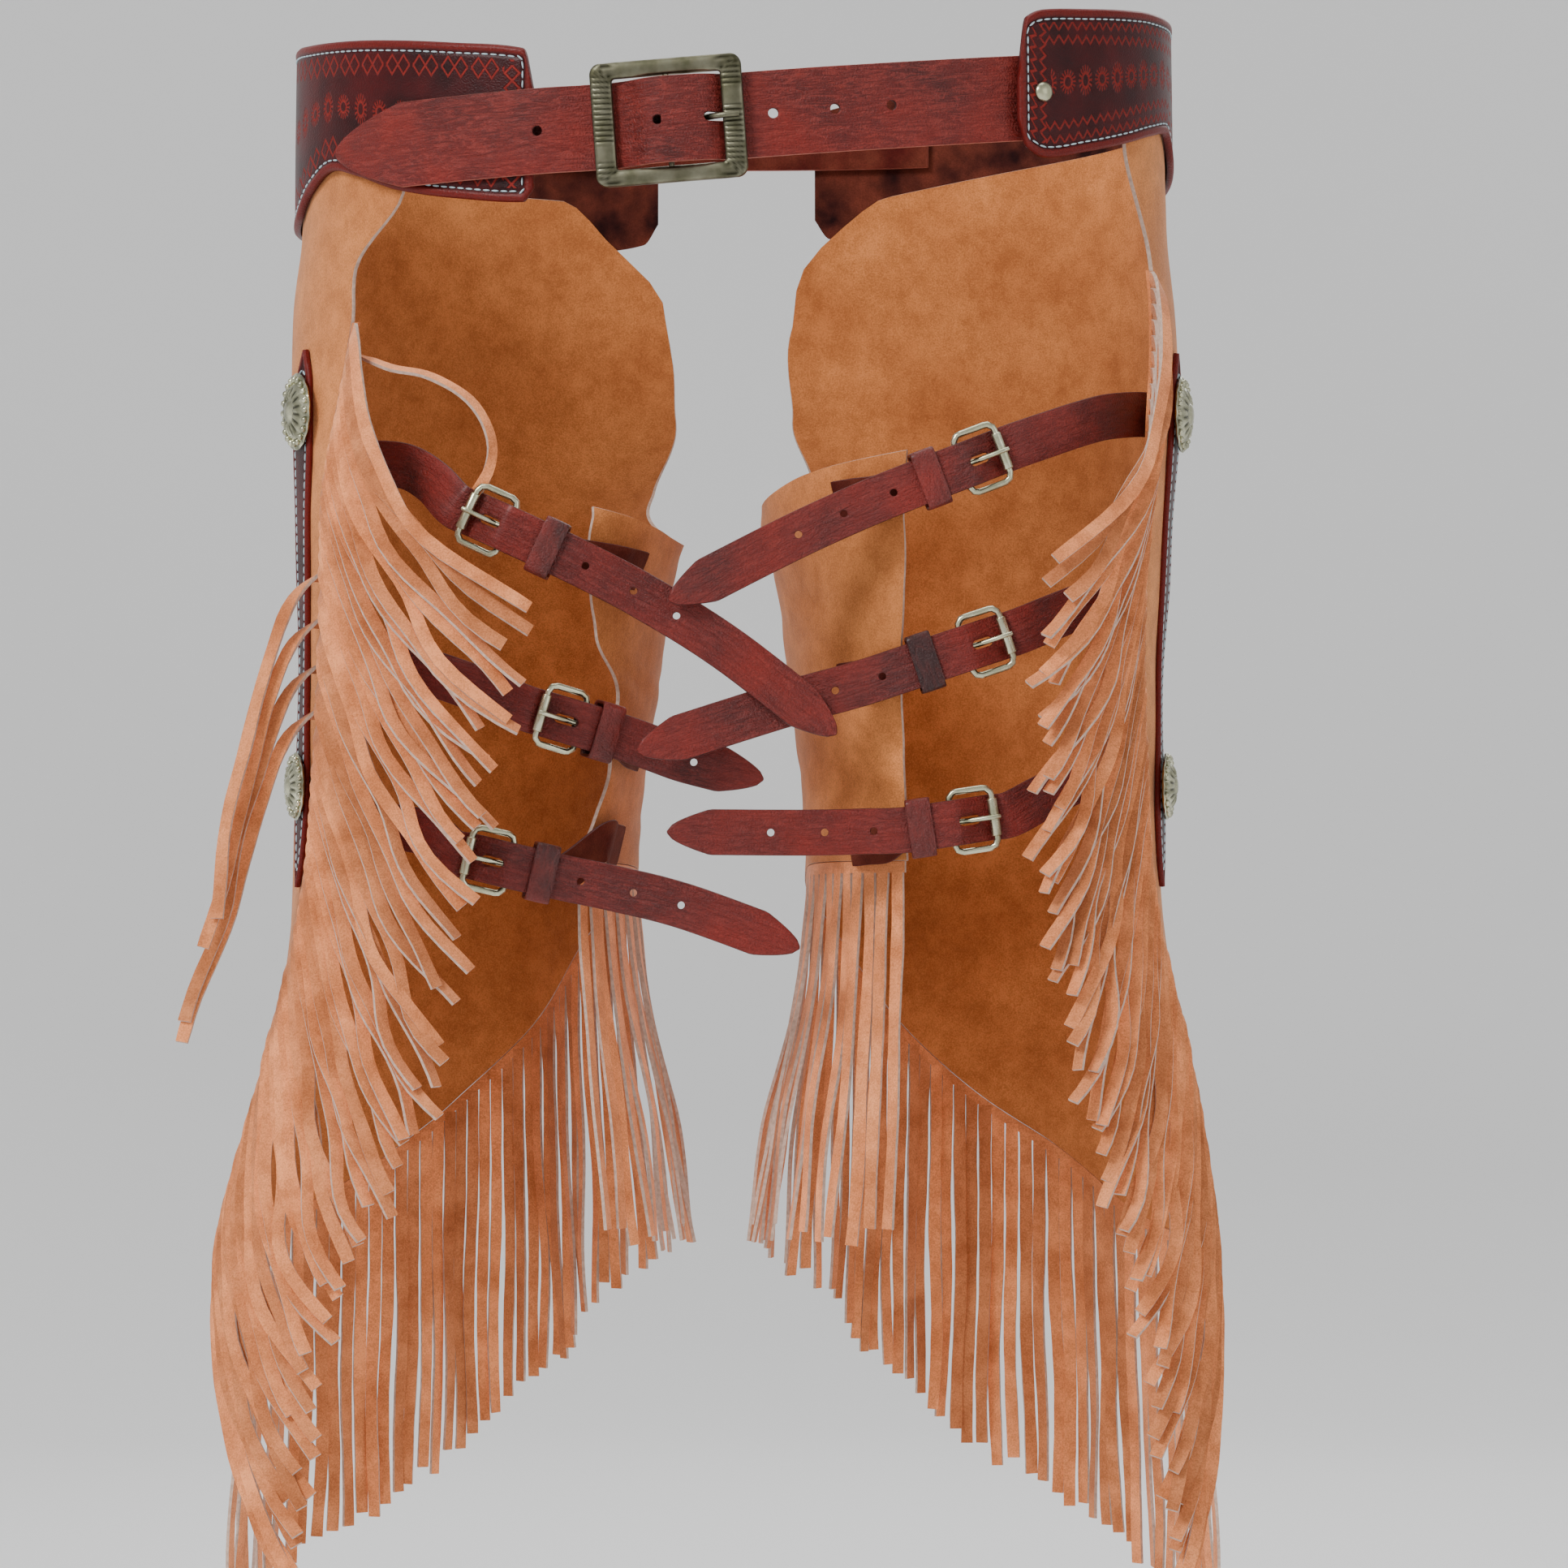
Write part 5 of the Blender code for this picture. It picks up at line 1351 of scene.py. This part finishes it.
def make_belt():
    x = np.concatenate((np.linspace(150, -140, 260), np.linspace(-141, -170.8, 44)))
    out = between(BELT_RUN, 1, x)
    share = np.clip((x + 171.2) / 29.0, 0, 1) ** 0.56
    points, away = waist(x, belt_height(x), out)
    _along, wide, out_way = frames_along(points, away)
    materials = looks("belt_face", "belt_back", "belt_edge")
    halves = BELT_WIDTH / 2 * share
    belt = strap("holed_belt", points, wide, out_way, halves, BELT_LEATHER, materials, 15)
    hole = look("hole_wall")
    cutters = []
    for place in BELT_HOLES:
        centre, facing = waist(place, belt_height(place), between(BELT_RUN, 1, place))
        cutters.append(punch(centre, facing, 2.3, hole))
    centre, facing = waist(-31, belt_height(-31), 12.0)
    cutters.append(punch(centre, facing, 2.2, hole, depth=2.6))
    centre, facing = waist(-7.0, belt_height(-7.0), 7.2)
    cutters.append(punch(centre, facing, 2.1, hole, stretch=5.5, sides=20, depth=8.0))
    cut(belt, cutters)
    finished(belt, "belt_leather", "belt_strap")


def make_buckle():
    """Ribbed rectangular frame, its crossbar and prong, and the short strap folded round the bar."""
    centre, away = waist(BUCKLE_X, belt_height(BUCKLE_X), BUCKLE_OUT)
    across = unit(np.cross(UP, away))
    across = across if across[0] > 0 else -across
    tilt = math.atan2(belt_height(0) - belt_height(-54), 54)
    run = across * math.cos(tilt) + UP * math.sin(tilt)
    rise = np.cross(away, run)
    rise = rise if rise[2] > 0 else -rise
    half_length = BUCKLE_LENGTH / 2
    half_height = BUCKLE_HEIGHT / 2
    outer = rounded_outline(half_length, half_height, 5.0)
    inner = rounded_outline(half_length - BUCKLE_SIDE_BAR, half_height - BUCKLE_TOP_BAR, 1.4)
    # Section rows: share from the outer to the inner edge, height as a share of half the thickness, ribbed.
    section = ((0.0, -1.0, 0), (0.0, 0.5, 0), (0.06, 0.95, 0.5), (0.2, 1.15, 1), (0.4, 1.25, 1),
               (0.6, 1.25, 1), (0.8, 1.15, 1), (0.94, 0.95, 0.5), (1.0, 0.5, 0), (1.0, -1.0, 0))
    rows = []
    dark = []
    for share, level, ribbed in section:
        flat = outer + (inner - outer) * share
        ribs = 0.5 + 0.5 * np.cos(flat[:, 1] / RIB_PITCH * 2 * math.pi)
        sides = ease(half_length - BUCKLE_SIDE_BAR - 3, half_length - BUCKLE_SIDE_BAR + 1, np.abs(flat[:, 0]))
        plain = np.where(flat[:, 0] < 0, -12.5, 9.0)
        gap = ease(2.5, 5.5, np.abs(flat[:, 1] - plain))
        groove = ribs**2 * sides * gap * ribbed
        lift = BUCKLE_THICK / 2 * level - 0.42 * groove
        rows.append(centre + run * flat[:, :1] + rise * flat[:, 1:] + away * lift[:, None])
        dark.append(groove)
    points, faces = swept(np.stack(rows, 1), closed=True)
    # Painted shade: the groove mark colours the rib grooves darker.
    marks = {"groove": np.stack(dark, 1).reshape(-1)}
    pewter = look("antique_pewter")
    buckle = mesh_object("ribbed_buckle", points, faces, [pewter], marks=marks, sharp=60)
    reach = half_height - BUCKLE_TOP_BAR * 0.5
    bar = rod("bar", np.array((centre - rise * reach, centre + rise * reach)), BAR_RADIUS, pewter, 12)
    prong_line = course(
        [
            centre + run * 0.4,
            centre + run * 11 - away * 0.6,
            centre + run * 16.5 - away * 0.2,
            centre + run * 21 + away * 2.6,
            centre + run * 25 + away * (BUCKLE_THICK * 0.6 + 1.9),
            centre + run * 31.5 + away * (BUCKLE_THICK * 0.6 + 1.7),
        ],
        1.2,
    )
    radii = 1.6 - 0.35 * np.linspace(0, 1, len(prong_line))
    prong = rod("prong", prong_line, radii, pewter, 12)
    weld(buckle, [bar, prong])
    finished(buckle, "pewter", "belt_buckle")
    x = np.array([row[0] for row in BUCKLE_RUN], float)
    own = waist(x, belt_height(x), np.array([row[1] for row in BUCKLE_RUN], float))[0]
    points = course(own, 1.6)
    wide, out_way = frames_beside(points, rise)
    halves = np.full(len(points), BELT_WIDTH / 2 - 4.5)
    materials = looks("belt_face", "belt_back", "belt_edge")
    own_strap = strap("buckle_fold", points, wide, out_way, halves, BUCKLE_LEATHER, materials, 9, 0.2)
    slot = punch(centre + run * 3 + away * 1.5, away, 2.9, look("hole_wall"), 9.0, run, 20, 4.0)
    cut(own_strap, [slot])
    finished(own_strap, "belt_leather", "buckle_strap")


def rounded_outline(half_length, half_height, corner):
    """Closed outline of a rounded rectangle with evenly matched points on each side and corner."""
    points = []
    for turn, (sx, sz) in enumerate(((1, 1), (-1, 1), (-1, -1), (1, -1))):
        bends = np.radians(90 * turn + np.linspace(0, 90, 9))
        centre = np.array((sx * (half_length - corner), sz * (half_height - corner)))
        arc = centre + corner * np.stack((np.cos(bends), np.sin(bends)), -1)
        points.append(arc)
        nx, nz = ((-1, 1), (-1, -1), (1, -1), (1, 1))[turn]
        ahead = 90 * (turn + 1)
        target = np.array((nx * (half_length - corner), nz * (half_height - corner)))
        target = target + corner * np.array((math.cos(math.radians(ahead)), math.sin(math.radians(ahead))))
        steps = 130 if turn % 2 else 60
        points.append(arc[-1] + (target - arc[-1]) * (np.arange(1, steps) / steps)[:, None])
    return np.concatenate(points)


# Thigh straps


def leg_away(side, p):
    centre = between(FORM[side], 1, p[..., 2]) * SIGN[side]
    x = p[..., 0] - centre
    x = np.where(x * SIGN[side] < 0, x * 0.12, x)
    return unit(np.stack((x, p[..., 1], np.zeros_like(x)), -1))


def make_thigh_strap(key):
    side = key.split("_")[0]
    marks = [np.array(p, float) for p in THIGH_STRAPS[key]]
    start = marks[0][2]
    edge = float(between(OUTER_EDGE[side], 1, start))
    under = -STRAP_SEAT[key] - STRAP_LEATHER / 2
    marks = [skin(side, edge + 7, start + 5, under), skin(side, edge - 3, start + 4, under)] + marks
    buckle = marks[3]
    keeper = marks[4]
    towards = unit(keeper - buckle)
    out = leg_away(side, buckle)
    out = unit(out - towards * (out @ towards))
    wide = unit(np.cross(out, towards))
    half_frame = FRAME_LENGTH / 2
    lift = FRAME_WIRE + 1.0 + STRAP_LEATHER / 2
    over = FRAME_WIRE + GAP + 1.7 + 0.8 + STRAP_LEATHER / 2
    before = buckle - towards * (half_frame + 7) - out * lift
    at_keeper = keeper + out * (over - 0.6)
    points = course(marks[:3] + [before], 16.0)
    step_over = [
        buckle - towards * (half_frame - 2.5) - out * lift,
        buckle + towards * (half_frame - 2.0) + out * over,
        buckle + towards * (half_frame + 3.0) + out * (over + 0.2),
    ]
    tail = [at_keeper - towards * 2, at_keeper + towards * 7, marks[5] + out * 3, marks[6] + out * 2, marks[7]]
    tail = course(tail, 13.5)
    points = course(np.concatenate((points, step_over, tail)), 2.0)
    gone = distances(points)
    _along, wides, outs = frames_along(points, leg_away(side, points))
    left = np.maximum(gone[-1] - gone, 0.0)
    halves = STRAP_WIDTH / 2 * (0.06 + 0.94 * np.minimum(1.0, left / 19.0) ** 0.62)
    materials = looks("strap_face", "belt_back", "strap_edge")
    made = strap(f"punched_strap_{key}", points, wides, outs, halves, STRAP_LEATHER, materials, 11)
    hole = look("hole_wall")
    cutters = []
    begin = gone[np.argmin(np.linalg.norm(points - keeper, axis=1))]
    for wanted in begin + 18 + np.arange(3) * 23:
        if wanted > gone[-1] - 26:
            break
        n = int(np.searchsorted(gone, wanted))
        cutters.append(punch(points[n], outs[n], 1.7, hole, sides=14, depth=5.0))
    slot = punch(buckle + towards * 1.5 + out * 1.2, out, 2.1, hole, 5.5, towards, 16, 8.0)
    cut(made, cutters + [slot])
    finished(made, "belt_leather", f"thigh_strap_{key}")
    make_strap_buckle(key, buckle, towards, wide, out)
    make_short_strap(key, side, buckle, keeper, towards, wide, out)
    make_keeper(key, keeper, towards, wide, out)


def make_strap_buckle(key, buckle, towards, wide, out):
    """Bent wire frame with a roller on its outer bar and a prong hung from its inner bar."""
    nickel = look("nickel_wire")
    half_length = FRAME_LENGTH / 2
    half_height = FRAME_HEIGHT / 2 - FRAME_WIRE
    flat = rounded_outline(half_length, half_height, 3.5)[::4]
    ring = buckle + towards * flat[:, :1] + wide * flat[:, 1:]
    made = rod(f"wire_buckle_{key}", ring, FRAME_WIRE, nickel, 12, True, tuple(out))
    reach = half_height - 5.0
    bar = buckle - towards * half_length
    roller_line = bar + wide * (np.array((-1, -0.97, -0.94, 0.94, 0.97, 1)) * reach)[:, None]
    roller_radii = (ROLLER_RADIUS - 0.5, ROLLER_RADIUS - 0.1, ROLLER_RADIUS, ROLLER_RADIUS,
                    ROLLER_RADIUS - 0.1, ROLLER_RADIUS - 0.5)
    roller = rod("roller", roller_line, roller_radii, nickel, 20, False, tuple(out))
    prong_line = course(
        [
            buckle + towards * (half_length + 1.6) - out * 0.6,
            buckle + towards * (half_length + 0.9) + out * 1.7,
            buckle + towards * (half_length - 3) + out * 1.9,
            buckle + towards * 3 + out * 1.4,
            buckle - towards * (half_length - 4) + out * 3.3,
            buckle - towards * (half_length + 0.4) + out * 3.7,
            buckle - towards * (half_length + 2.4) + out * 2.9,
        ],
        0.8,
    )
    radii = 1.35 - 0.35 * np.linspace(0, 1, len(prong_line))
    prong = rod("prong", prong_line, radii, nickel, 12, False, tuple(wide))
    weld(made, [roller, prong])
    finished(made, "nickel", f"strap_buckle_{key}")


def make_short_strap(key, side, buckle, keeper, towards, wide, out):
    """Strap sewn to the inner back edge and folded round the buckle's inner bar."""
    bar = buckle + towards * FRAME_LENGTH / 2
    loop = FRAME_WIRE + GAP + 0.9
    height = max(keeper[2] - 7, -317)
    inner_angle = float(between(INNER_EDGE[side], 1, height))
    suede = setting("suede")
    path = [
        skin(side, inner_angle - 19, height - 2, suede + 2.7),
        skin(side, inner_angle - 12, height - 1, suede + 3.6),
        skin(side, inner_angle - 5, height, suede + 5.2),
        keeper + towards * 8.5 - out * 2.4,
        keeper - towards * 4.5 - out * 2.2,
        bar + towards * 4 - out * loop,
        bar - out * loop,
        bar - towards * loop * 0.8 - out * loop * 0.6,
        bar - towards * loop,
        bar - towards * loop * 0.8 + out * loop * 0.6,
        bar + out * loop,
        bar + towards * 3.2 + out * loop,
    ]
    points = course(path, 1.2)
    wides, outs = frames_beside(points, wide)
    halves = np.full(len(points), STRAP_WIDTH / 2 - 1.0)
    materials = looks("strap_face", "belt_back", "strap_edge")
    made = strap(f"folded_strap_{key}", points, wides, outs, halves, SHORT_STRAP_LEATHER, materials, 9, 0.2)
    slot = punch(bar - towards * 1.5 + out * 1.4, out, 1.9, look("hole_wall"), 8.0, towards, 16, 3.2)
    cut(made, [slot])
    finished(made, "belt_leather", f"short_strap_{key}")


def make_keeper(key, keeper, towards, wide, out):
    """Flat leather loop round both straps."""
    middle = keeper + out * 1.5
    ring = rounded_outline(STRAP_WIDTH / 2 + 3.2, 6.8, 2.4)[::3]
    nearer = ring * np.array(((STRAP_WIDTH / 2 + 1.6) / (STRAP_WIDTH / 2 + 3.2), 5.3 / 6.8))
    half = KEEPER_WIDTH / 2
    section = []
    for shift, share in ((-half, 0.2), (-half * 0.9, 0.02), (-half * 0.5, 0.0), (0, -0.03), (half * 0.5, 0.0),
                         (half * 0.9, 0.02), (half, 0.2), (half, 0.8), (half * 0.9, 1.0), (-half * 0.9, 1.0),
                         (-half, 0.8)):
        flat = ring + (nearer - ring) * share
        section.append(middle + towards * shift + wide * flat[:, :1] + out * flat[:, 1:])
    points, faces = swept(np.stack(section, 1), closed=True)
    around = np.repeat(np.arange(len(ring)) * 1.2, len(section))
    uv = np.stack((around, np.tile(np.linspace(-half, half, len(section)), len(ring))), -1)
    material = look("worn_keeper" if key == "right_middle" else "keeper_face")
    made = mesh_object(f"loop_keeper_{key}", points, faces, [material], uv=uv, sharp=60)
    finished(made, "keeper_leather", f"keeper_{key}")


# Front


def make_front():
    x = np.linspace(-92, 92, 90)
    points, away = waist(x, np.full(90, 18.0), np.full(90, (YOKE_OUT - GAP - 1.0) / 2), back=False)
    _along, wide, out = frames_along(points, away)
    materials = looks("belt_face", "belt_back", "belt_edge")
    thick = YOKE_OUT - GAP + 1.0
    made = strap("front_belt", points, wide, out, np.full(90, 12.0), thick, materials, 11)
    finished(made, "belt_leather", "front_strap")
    for side in SIDES:
        make_rivet(f"front_rivet_{side}", side, 72, 18)
    make_rivet("back_rivet_right", "right", -46.5, 17)


def make_rivet(node, side, angle, height):
    """Domed rivet head on a yoke."""
    place = skin_plain(side, angle, height, YOKE_OUT + YOKE_LEATHER + GAP)
    profile = ((0.1, -0.5, 0), (4.2, -0.5, 0), (4.5, 0.1, 0), (4.4, 0.8, 0), (3.8, 1.6, 0), (2.6, 2.4, 0),
               (1.2, 2.8, 0), (0.1, 2.9, 0))
    made = turned(f"domed_{node}", place, outward(side, angle, height), profile, look("nickel_wire"), 28)
    finished(made, "nickel", node)


# Stage

CAMERA_PLACE = (0.023, -2.6, -0.291)
CAMERA_LENS = 129.2
FLOOR_HEIGHT = -0.98
WORLD_STRENGTH = 0.48
# Soft lights: name, place, size, power.
LIGHTS = (
    ("key", (-2.0, -2.3, 1.9), 1.0, 96.0),
    ("fill", (2.4, -2.2, 0.5), 2.0, 14.0),
    ("front", (0.6, 2.8, 1.6), 2.2, 40.0),
    ("top", (0.0, 0.2, 2.9), 2.0, 44.0),
)


def make_stage():
    """Pale floor that curves up all round, soft lights and the camera at the photo's angle."""
    rows = [(0.01, 0.0), (3.4, 0.0)]
    rows += [(3.4 + 2.2 * math.sin(a), 2.2 - 2.2 * math.cos(a)) for a in np.radians(np.linspace(6, 90, 14))]
    rows.append((5.6, 6.5))
    turns = round_turns(96)
    points = []
    for radius, rise in rows:
        for turn in turns:
            points.append((radius * math.cos(turn), radius * math.sin(turn), FLOOR_HEIGHT + rise))
    index = np.arange(len(points)).reshape(len(rows), 96)
    ahead = np.roll(index, -1, 1)
    faces = np.stack((index[:-1], ahead[:-1], ahead[1:], index[1:]), -1).reshape(-1, 4).tolist()
    mesh = bpy.data.meshes.new("studio_floor")
    mesh.from_pydata(points, [], faces)
    mesh.polygons.foreach_set("use_smooth", [True] * len(faces))
    floor = bpy.data.objects.new("studio_floor", mesh)
    made, make, shader = blank_material("pale_floor", 0.9)
    tone = blotched(make, object_coordinates(make), 0.7, (0.90, 0.90, 0.90), (0.93, 0.93, 0.93))
    make.link(tone["Color"], shader.inputs["Base Color"])
    mesh.materials.append(made)
    bpy.context.scene.collection.objects.link(floor)
    world = bpy.data.worlds.new("studio")
    world.use_nodes = True
    world.node_tree.nodes["Background"].inputs["Color"].default_value = (1.0, 1.0, 1.0, 1.0)
    world.node_tree.nodes["Background"].inputs["Strength"].default_value = WORLD_STRENGTH
    bpy.context.scene.world = world
    for name, place, size, power in LIGHTS:
        lamp = bpy.data.lights.new(name, "AREA")
        lamp.size = size
        lamp.energy = power
        held = bpy.data.objects.new(name, lamp)
        held.location = place
        way = np.array((0.0, 0.0, -0.25)) - np.array(place)
        tilt = math.atan2(math.hypot(way[0], way[1]), -way[2])
        held.rotation_euler = (tilt, 0.0, math.atan2(-way[0], way[1]))
        held.visible_camera = False
        bpy.context.scene.collection.objects.link(held)
    camera = bpy.data.cameras.new("photo_view")
    camera.lens = CAMERA_LENS
    camera.sensor_width = 36.0
    held = bpy.data.objects.new("photo_view", camera)
    held.location = CAMERA_PLACE
    held.rotation_euler = (math.radians(90), 0.0, 0.0)
    bpy.context.scene.collection.objects.link(held)
    bpy.context.scene.camera = held


# Settings, operators and panel


def size_property(name, description, default):
    return bpy.props.FloatProperty(
        name=name, description=description, default=default, unit="LENGTH", min=0.0
    )


def colour_property(name, description, default):
    return bpy.props.FloatVectorProperty(
        name=name, description=description, default=default, subtype="COLOR", min=0.0, max=1.0
    )


class ChapsSizes(bpy.types.PropertyGroup):
    """Sizes that a user may change."""

    suede: size_property("Suede", "Thickness of the leg panels", 0.002)
    strand_width: size_property("Strand width", "Width of a fringe strand", 0.0060)
    strand_thickness: size_property("Strand thickness", "Thickness of a fringe strand", 0.0015)
    strand_length: size_property("Strand length", "Length of a fringe strand", 0.168)
    tooling_depth: size_property("Tooling depth", "How deep the yokes' pattern is pressed", 0.00045)
    stitch_pitch: size_property("Stitch pitch", "From one stitch to the next", 0.0043)
    stitch_length: size_property("Stitch length", "Length of one stitch", 0.0036)
    thread: size_property("Thread", "Thickness of the sewing thread", 0.0010)
    bead: size_property("Bead", "Diameter of a concho's beads", 0.0034)


class ChapsColours(bpy.types.PropertyGroup):
    """Colours that a user may change."""

    suede_light: colour_property("Suede light", "Brushed suede", (0.7, 0.26, 0.08))
    suede_dark: colour_property("Suede dark", "Shaded suede", (0.5, 0.165, 0.048))
    fringe_light: colour_property("Fringe light", "Brushed strands", (0.9, 0.335, 0.135))
    fringe_dark: colour_property("Fringe dark", "Shaded strands", (0.58, 0.185, 0.065))
    cut_edge: colour_property("Cut edge", "Raw edge of the suede", (0.6, 0.42, 0.33))
    belt_light: colour_property("Belt light", "Lighter parts of the belt leather", (0.175, 0.0105, 0.006))
    belt_dark: colour_property("Belt dark", "Darker parts of the belt leather", (0.07, 0.004, 0.003))
    belt_edge: colour_property("Belt edge", "Raw edge of the belt", (0.46, 0.14, 0.1))
    # Painted highlight: paler colour laid along the leather's creases where light catches them.
    crease: colour_property("Crease", "Worn crests of the belt's creases", (0.27, 0.032, 0.022))
    keeper_light: colour_property("Keeper light", "Lighter parts of the keepers", (0.2, 0.013, 0.008))
    keeper_dark: colour_property("Keeper dark", "Darker parts of the keepers", (0.05, 0.005, 0.004))
    yoke_light: colour_property("Yoke light", "Lighter parts of the tooled leather", (0.06, 0.0028, 0.0035))
    yoke_dark: colour_property("Yoke dark", "Darker parts of the tooled leather", (0.016, 0.001, 0.0015))
    yoke_back: colour_property("Yoke back", "Flesh side of the dyed leather", (0.16, 0.035, 0.02))
    tooling: colour_property("Tooling", "Pressed lines", (0.2, 0.014, 0.01))
    thread: colour_property("Thread", "Sewing thread", (0.52, 0.68, 0.74))
    nickel_light: colour_property("Nickel light", "Bright plated wire", (0.66, 0.65, 0.48))
    nickel_dark: colour_property("Nickel dark", "Dull plated wire", (0.33, 0.33, 0.2))
    pewter_light: colour_property("Pewter light", "Worn buckle metal", (0.22, 0.21, 0.15))
    pewter_dark: colour_property("Pewter dark", "Dull buckle metal", (0.07, 0.068, 0.036))
    concho_light: colour_property("Concho light", "Bright concho metal", (0.7, 0.69, 0.5))
    concho_dark: colour_property("Concho dark", "Dull concho metal", (0.16, 0.16, 0.1))


class CHAPS_OT_leg_panels(bpy.types.Operator):
    """Make the two suede leg panels"""

    bl_idname = "chaps.leg_panels"
    bl_label = "Leg Panels"

    def execute(self, context):
        for side in SIDES:
            make_panel(side)
        return {"FINISHED"}


class CHAPS_OT_yokes(bpy.types.Operator):
    """Make the tooled hip yokes and their stitches"""

    bl_idname = "chaps.yokes"
    bl_label = "Yokes"

    def execute(self, context):
        for side in SIDES:
            make_yoke(side)
        return {"FINISHED"}


class CHAPS_OT_side_strips(bpy.types.Operator):
    """Make the pointed side strips, their stitches and conchos"""

    bl_idname = "chaps.side_strips"
    bl_label = "Side Strips"

    def execute(self, context):
        for side in SIDES:
            make_side_strip(side)
        return {"FINISHED"}


class CHAPS_OT_fringes(bpy.types.Operator):
    """Make the fringe of the outer edges and of the hems"""

    bl_idname = "chaps.fringes"
    bl_label = "Fringes"

    def execute(self, context):
        for side in SIDES:
            make_outer_fringe(side)
            make_hem_fringe(side)
        return {"FINISHED"}


class CHAPS_OT_belt(bpy.types.Operator):
    """Make the holed belt, its ribbed buckle and the front strap with its rivets"""

    bl_idname = "chaps.belt"
    bl_label = "Belt"

    def execute(self, context):
        make_belt()
        make_buckle()
        make_front()
        return {"FINISHED"}


class CHAPS_OT_thigh_straps(bpy.types.Operator):
    """Make the thigh straps with their buckles and keepers"""

    bl_idname = "chaps.thigh_straps"
    bl_label = "Thigh Straps"

    def execute(self, context):
        for key in THIGH_STRAPS:
            make_thigh_strap(key)
        return {"FINISHED"}


class CHAPS_OT_stage(bpy.types.Operator):
    """Make the floor, the lights and the camera"""

    bl_idname = "chaps.stage"
    bl_label = "Stage"

    def execute(self, context):
        make_stage()
        return {"FINISHED"}


class CHAPS_PT_panel(bpy.types.Panel):
    """Lists the pieces of the chaps"""

    bl_idname = "CHAPS_PT_panel"
    bl_label = "Fringed Leather Chaps"
    bl_space_type = "VIEW_3D"
    bl_region_type = "UI"
    bl_category = "Chaps"

    def draw(self, context):
        for operator in OPERATORS:
            self.layout.operator(operator.bl_idname)
        for group in (context.scene.chaps_sizes, context.scene.chaps_colours):
            for name in group.__annotations__:
                self.layout.prop(group, name)


OPERATORS = (
    CHAPS_OT_stage,
    CHAPS_OT_leg_panels,
    CHAPS_OT_yokes,
    CHAPS_OT_side_strips,
    CHAPS_OT_fringes,
    CHAPS_OT_belt,
    CHAPS_OT_thigh_straps,
)


def register():
    for each in (ChapsSizes, ChapsColours) + OPERATORS + (CHAPS_PT_panel,):
        bpy.utils.register_class(each)
    bpy.types.Scene.chaps_sizes = bpy.props.PointerProperty(type=ChapsSizes)
    bpy.types.Scene.chaps_colours = bpy.props.PointerProperty(type=ChapsColours)


def unregister():
    del bpy.types.Scene.chaps_sizes
    del bpy.types.Scene.chaps_colours
    for each in reversed((ChapsSizes, ChapsColours) + OPERATORS + (CHAPS_PT_panel,)):
        bpy.utils.unregister_class(each)


def main():
    register()
    bpy.ops.chaps.stage()
    bpy.ops.chaps.leg_panels()
    bpy.ops.chaps.yokes()
    bpy.ops.chaps.side_strips()
    bpy.ops.chaps.fringes()
    bpy.ops.chaps.belt()
    bpy.ops.chaps.thigh_straps()


if __name__ == "__main__":
    main()
